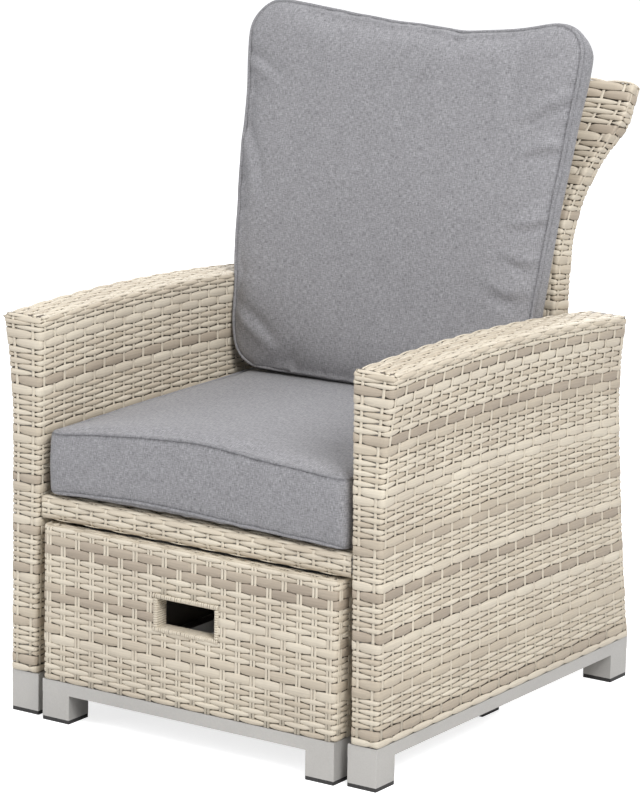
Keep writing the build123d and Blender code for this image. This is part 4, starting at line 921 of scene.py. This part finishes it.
def shapeSeat(co):
    # the front's lower edge arches up, the top edge rises to the right, and the four upright corners are round
    x, y, z = co.T.copy()
    form = seatForm
    run = y - form["front"]
    roundX, roundY = roundCorner(x, y, form["half"], form["front"], form["rear"], form["corner"])
    arch = np.clip(1 - (x / 271) ** 2, 0, 1)
    low = 1 - smoothStep(z, 352, 430)
    high = smoothStep(z, 370, 445)
    lift = 3.0 * arch * np.exp(-(np.maximum(run, 0) / 40) ** 2) * low
    crown = np.interp(x, form["crownX"], form["crown"])
    tilt = crown * np.exp(-(np.maximum(run, 0) / 240) ** 2) * high
    slack = -3.0 * high * smoothStep(run, 300, 560) * arch
    side = np.sign(roundX) * 1.6 * smoothStep(np.abs(roundX), 250, 270) * np.clip(1 - ((z - 401) / 50) ** 2, 0, 1)
    return np.stack([roundX + side, roundY, z + lift + tilt + slack], -1)


def backTable(z):
    return (np.interp(z, backHeightsOf["z"], backHeightsOf[k]) for k in ("half", "near", "thick"))


def shapeBack(co):
    # fuller at the foot, drawn in to the rear, its top edge sagging between two soft ears
    x, y, z = co.T.copy()
    form = backForm
    half, near, thick = backTable(z)
    depth = np.clip((y - armFront - near) / thick, -0.2, 1)
    x, z = roundCorner(x / half * form["half"], z, form["half"], form["low"], form["high"], form["corner"])
    x = x / form["half"] * half
    share = np.clip(np.abs(x) / half, 0, 1)
    foot = np.exp(-((z - 525) / 75) ** 2) + 0.35 * np.exp(-((z - 640) / 60) ** 2)
    left, right = (np.interp(z, backBulge["z"], backBulge[k]) for k in ("left", "right"))
    bulge = np.where(x < 0, left, right)
    x = x + np.sign(x) * share ** 3 * (9.0 * foot + bulge - 30.0 * smoothStep(depth, 0.25, 1.15))
    top = smoothStep(z, 860, 1030)
    rise = np.interp(x, topEdge["x"], topEdge["dz"])
    z = z + rise * top ** 1.4 - 27.0 * smoothStep(depth, 0.05, 1.0) * top
    y = y - 9.0 * foot * (1 - smoothStep(depth, 0.1, 0.8)) * (0.6 + 0.4 * share)
    return np.stack([x, y, z], -1)


def shapePad(co):
    x, y, z = co.T.copy()
    x, y = roundCorner(x, y, pad["half"], pad["front"], pad["rear"], pad["corner"])
    return np.stack([x, y, z], -1)


shapers = {"seat_cushion": shapeSeat, "back_cushion": shapeBack, "footstool_pad": shapePad}


def foldPush(co):
    # each fold lifts one side of its line and sinks the other: height * (g / w) * exp(0.5 - (g / w)^2 / 2)
    push = np.zeros(len(co))
    for points, height, width in folds:
        p = np.array(points, float)
        run = np.linspace(0, 1, 30)
        knots = np.linspace(0, 1, len(p))
        line = np.stack([np.interp(run, knots, p[:, 0]), np.interp(run, knots, p[:, 1])], -1)
        way = unit(np.gradient(line, axis=0))
        gap = co[:, None, [0, 2]] - line[None]
        nearest = np.argmin((gap ** 2).sum(-1), axis=1)
        pick = gap[np.arange(len(co)), nearest]
        side = pick[:, 0] * way[nearest, 1] - pick[:, 1] * way[nearest, 0]
        along = (pick * way[nearest]).sum(-1)
        g = side / width
        fade = np.sin(math.pi * (0.1 + 0.8 * run[nearest])) * np.exp(-(along / width) ** 2)
        push += height * g * np.exp(0.5 - g * g / 2) * fade
    return push


def applyAll(piece):
    graph = bpy.context.evaluated_depsgraph_get()
    made = bpy.data.meshes.new_from_object(piece.evaluated_get(graph))
    piece.modifiers.clear()
    old = piece.data
    piece.data = made
    bpy.data.meshes.remove(old)


def readMesh(mesh, what="co"):
    values = np.zeros(len(mesh.vertices) * 3)
    mesh.vertices.foreach_get(what, values)
    return values.reshape(-1, 3)


def writePoints(mesh, co):
    mesh.vertices.foreach_set("co", np.ascontiguousarray(co).ravel())
    mesh.update()


def pushOut(piece, push):
    # moves each point along its normal, in millimetres
    mesh = piece.data
    writePoints(mesh, readMesh(mesh) + readMesh(mesh, "normal") * (push / 1000)[:, None])


def clothMaps(mesh, seam):
    # each face is laid flat along its nearest axis; the seam value darkens the cloth beside a seam, painted shade in
    # the groove by the piping
    n = len(mesh.polygons)
    normal, total = np.zeros(n * 3), np.zeros(n, int)
    mesh.polygons.foreach_get("normal", normal)
    mesh.polygons.foreach_get("loop_total", total)
    axis = np.repeat(np.abs(normal.reshape(-1, 3)).argmax(1), total)
    index = np.zeros(len(mesh.loops), int)
    mesh.loops.foreach_get("vertex_index", index)
    p = readMesh(mesh)[index]
    first = np.where(axis == 0, p[:, 1], p[:, 0])
    second = np.where(axis == 2, p[:, 1], p[:, 2])
    laid = np.stack([first, second, 0 * first], -1)
    setValues(mesh, "clothPlace", "FLOAT_VECTOR", "CORNER", "vector", laid.ravel())
    setValues(mesh, "seam", "FLOAT", "POINT", "value", seam)


def seamTree(paths):
    points = np.concatenate(paths)
    tree = KDTree(len(points))
    for i, point in enumerate(points):
        tree.insert(point, i)
    tree.balance()
    return tree


def puff(name, look):
    # remesh, give it the photographed form, shrink it a little, blow it up as cloth and cap how far it moves
    mesh = nodes[look["node"]].data.copy()
    mesh.name = name
    mesh.materials.clear()
    piece = newObject(name, mesh)
    bpy.context.view_layer.objects.active = piece
    weld = piece.modifiers.new("weld", "WELD")
    weld.merge_threshold = 0.0001
    remesh = piece.modifiers.new("remesh", "REMESH")
    remesh.mode = "VOXEL"
    remesh.voxel_size = look["voxel"] / 1000
    soften = piece.modifiers.new("soften", "SMOOTH")
    soften.factor = 0.5
    soften.iterations = 2
    applyAll(piece)
    writePoints(piece.data, shapers[look["node"]](readMesh(piece.data) * 1000) / 1000)
    normals = readMesh(piece.data, "normal")
    start = readMesh(piece.data) - normals * look["shrink"] / 1000
    writePoints(piece.data, start)
    cloth = piece.modifiers.new("cloth", "CLOTH")
    for key, value in clothSettings.items():
        setattr(cloth.settings, key, value)
    cloth.settings.uniform_pressure_force = look["pressure"]
    cloth.settings.effector_weights.gravity = 0
    cloth.point_cache.frame_start = 1
    cloth.point_cache.frame_end = steps
    scene = bpy.context.scene
    for step in range(1, steps + 1):
        scene.frame_set(step)
    applyAll(piece)
    scene.frame_set(1)
    # outwards the motion nears the cap as cap * tanh(out / (1.6 * cap)), sideways 3 mm as 3 * tanh(size / 6)
    moved = (readMesh(piece.data) - start) * 1000
    out = (moved * normals).sum(1)
    along = moved - out[:, None] * normals
    cap = look["out"]
    out = np.where(out > 0, cap * np.tanh(out / (1.6 * cap)), np.maximum(out, -1.0))
    size = np.linalg.norm(along, axis=1, keepdims=True)
    along *= 3.0 * np.tanh(size / 6.0) / np.maximum(size, 1e-6)
    writePoints(piece.data, start + (out[:, None] * normals + along) / 1000)
    return piece


def seamPull(piece, paths, pucker):
    # draws the cloth in along each seam: depth * exp(-(d/width)^2), with small gathers that fade away from it
    width = seamLook["width"]
    runs = np.concatenate([np.concatenate([[0], np.cumsum(np.linalg.norm(np.diff(p, axis=0), axis=1))]) for p in paths])
    tree = seamTree(paths)
    found = [tree.find(p) for p in readMesh(piece.data)]
    gap = np.array([f[2] for f in found]) * 1000
    run = runs[np.array([f[1] for f in found])] * 1000
    wave = np.sin(run / 5.1 + 2.2 * np.sin(run / 31)) + 0.6 * np.sin(run / 9.7 + 1.7 * np.sin(run / 53))
    gather = pucker * wave * np.exp(-((gap - 9) / (2.2 * width)) ** 2) * (0.55 + 0.45 * np.sin(run / 83))
    pushOut(piece, -(seamLook["depth"] * np.exp(-(gap / width) ** 2) + gather * (gap > 4)))


def ripple(piece, size):
    # slow, shallow swells: a sum of three waves through the cloth
    x, y, z = (readMesh(piece.data) * 1000).T
    waves = (np.sin(x / 47 + 1.3 * np.sin(z / 61)) + np.sin(y / 53 + x / 90 + 0.7)
             + np.sin(z / 39 + 0.9 * np.sin(x / 71)))
    pushOut(piece, size * waves / 3)


def onSurface(piece, path, lift):
    mesh = piece.data
    tree = BVHTree.FromPolygons([tuple(p) for p in readMesh(mesh)], [tuple(f.vertices) for f in mesh.polygons])
    found = [tree.find_nearest(Vector(p))[:2] for p in path]
    out = np.array([np.array(place) + np.array(normal) * lift for place, normal in found])
    for _ in range(6):  # even out the small steps of the mesh
        out = (np.roll(out, 1, 0) + 2 * out + np.roll(out, -1, 0)) / 4
    return out


def loopTube(name, path, radius, material, body):
    # a round piping along a closed path: centre + radius * (cos a * side + sin a * up)
    n, sides = len(path), seamLook["cordSides"]
    along = unit(np.roll(path, -1, 0) - np.roll(path, 1, 0))
    side = unit(np.cross(along, path - path.mean(0)))
    up = np.cross(along, side)
    a = np.linspace(0, 2 * math.pi, sides + 1)[:-1]
    rings = path[:, None] + radius * (np.cos(a)[None, :, None] * side[:, None] + np.sin(a)[None, :, None] * up[:, None])
    grid = np.arange(n * sides).reshape(n, sides)
    quads = quadsBetween(grid, np.roll(grid, -1, 0))
    mesh = smoothMesh(name, rings.reshape(-1, 3), quads.tolist(), material)
    # the cord is darkened a little, painted shade
    clothMaps(mesh, np.full(n * sides, seamLook["cordShade"]))
    first = mesh.polygons[0]
    if (first.center - Vector((path[0] + path[1]) / 2)).dot(first.normal) < 0:
        mesh.flip_normals()
    piece = newObject(name, mesh)
    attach(piece, body)


def finishCushion(piece, name, look, material, paths):
    seamPull(piece, paths, look["pucker"])
    if look["node"] == "back_cushion":
        face = np.clip(-readMesh(piece.data, "normal")[:, 1] * 1.6, 0, 1)
        pushOut(piece, foldPush(readMesh(piece.data) * 1000) * face)
    ripple(piece, look["swell"])
    writePoints(piece.data, np.clip(readMesh(piece.data), np.array(look["low"]) / 1000, np.array(look["high"]) / 1000))
    finer = piece.modifiers.new("finer", "SUBSURF")
    finer.levels = finer.render_levels = 1
    applyAll(piece)
    piece.data.polygons.foreach_set("use_smooth", np.full(len(piece.data.polygons), True))
    piece.data.materials.append(material)
    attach(piece, look["body"])
    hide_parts(look["node"])
    cord = look["cord"]
    cords = [onSurface(piece, path, cord * seamLook["cordLift"]) for path in paths]
    # painted shade: the cloth darkens in a narrow band beside each piping cord
    tree = seamTree(cords)
    gap = np.array([tree.find(p)[2] for p in readMesh(piece.data)]) * 1000
    clothMaps(piece.data, seamLook["dark"] * np.exp(-((gap - cord) / seamLook["seamShadeWidth"]) ** 2))
    for i, path in enumerate(cords):
        loopTube(name + "Piping" + str(i + 1), path, cord / 1000, material, look["body"])
    print(name, "triangles", 2 * len(piece.data.polygons))


def squareLoop(count):
    return boxLoop(np.linspace(0, 40, count, endpoint=False), 10, 10)


def seatSeam(upper):
    # round the seat cushion along its upper or lower edge, then through the same shaping as its cloth
    sx, sy = squareLoop(260)
    fullness = 1 - sx * sx
    y = armFront + 284.5 + sy * (286.5 - (6.0 + 4.0 * fullness))
    arch = np.interp(sx, (-1, -0.8, -0.4, 0, 0.3, 0.7, 1), (0, 6, 13, 10, 6, 2, 0))
    arch = arch * np.clip((armFront + 40 - y) / 40, 0, 1)
    z = seatForm["top"] + 10.0 * fullness if upper else seatForm["bottom"] + arch + 1.0
    return shapeSeat(np.stack([sx * seatForm["half"], y, z], -1)) / 1000


def backSeam(rear):
    # the outline of the back cushion's front or rear face, through the same shaping as its cloth
    sx, sz = squareLoop(300)
    z = 465.5 + (sz + 1) / 2 * (1035.0 - 465.5)
    half, near, thick = backTable(z)
    return shapeBack(np.stack([sx * (half - 3), armFront + near + rear * thick, z], -1)) / 1000


def padSeam():
    sx, sy = squareLoop(220)
    return shapePad(np.stack([sx * pad["half"], sy * pad["seamHalf"] + pad["middle"], 0 * sx + pad["seam"]], -1)) / 1000


def makeCushions(material):
    seams = {"seatCushion": [seatSeam(True), seatSeam(False)], "backCushion": [backSeam(0.0), backSeam(1.0)],
             "footstoolPad": [padSeam()]}
    for name, look in cushions.items():
        finishCushion(puff(name, look), name, look, material, seams[name])


def dressNodes(finishes):
    slots = {part["node"]: part["material_slot"] for part in frame["record"]["subparts"]}
    for name, obj in nodes.items():
        finish = finishes.get(slots.get(name))
        if finish is None:
            continue
        obj.data.materials.clear()
        obj.data.materials.append(finish)


makeCamera()
makeLamps()
makeStage()
print("stage ready")
wicker = makeWicker()
fabric = makeFabric()
dressNodes({
    "wicker": wicker,
    "cushion_fabric": fabric,
    "aluminium_base": makeSpeckled("satinAluminium", (0.50, 0.485, 0.46), (0.53, 0.515, 0.49), 0.35, 0.42, 0.00006),
    "frame_tube": makeSpeckled("greyCoat", (0.30, 0.29, 0.28), (0.36, 0.35, 0.34), 0.2, 0.55),
    "glide": makeSpeckled("blackGlide", (0.018, 0.017, 0.017), (0.04, 0.038, 0.037), 0.0, 0.55),
    "bolt_steel": makeSpeckled("zincSteel", (0.48, 0.48, 0.47), (0.62, 0.62, 0.60), 0.9, 0.34),
    "spring_steel": makeSpeckled("blackEnamel", (0.015, 0.015, 0.016), (0.03, 0.03, 0.032), 0.1, 0.3),
    "lever_grip": makeSpeckled("greyGrip", (0.06, 0.06, 0.062), (0.1, 0.1, 0.105), 0.0, 0.6),
})
print("finishes ready")
makeArm("right", 1, wicker)
makeArm("left", -1, wicker)
makeBack(wicker)
makeFootstool(wicker)
makeBinding(wicker)
makeApron(wicker)
makeDeck("deckWicker", "seat_deck_weave", "chair", wicker)
makeDeck("footstoolDeckWicker", "footstool_deck_weave", "footstool", wicker)
print("weave ready")
makeCushions(fabric)
print("cushions ready")
bpy.context.scene.view_settings.view_transform = "Standard"
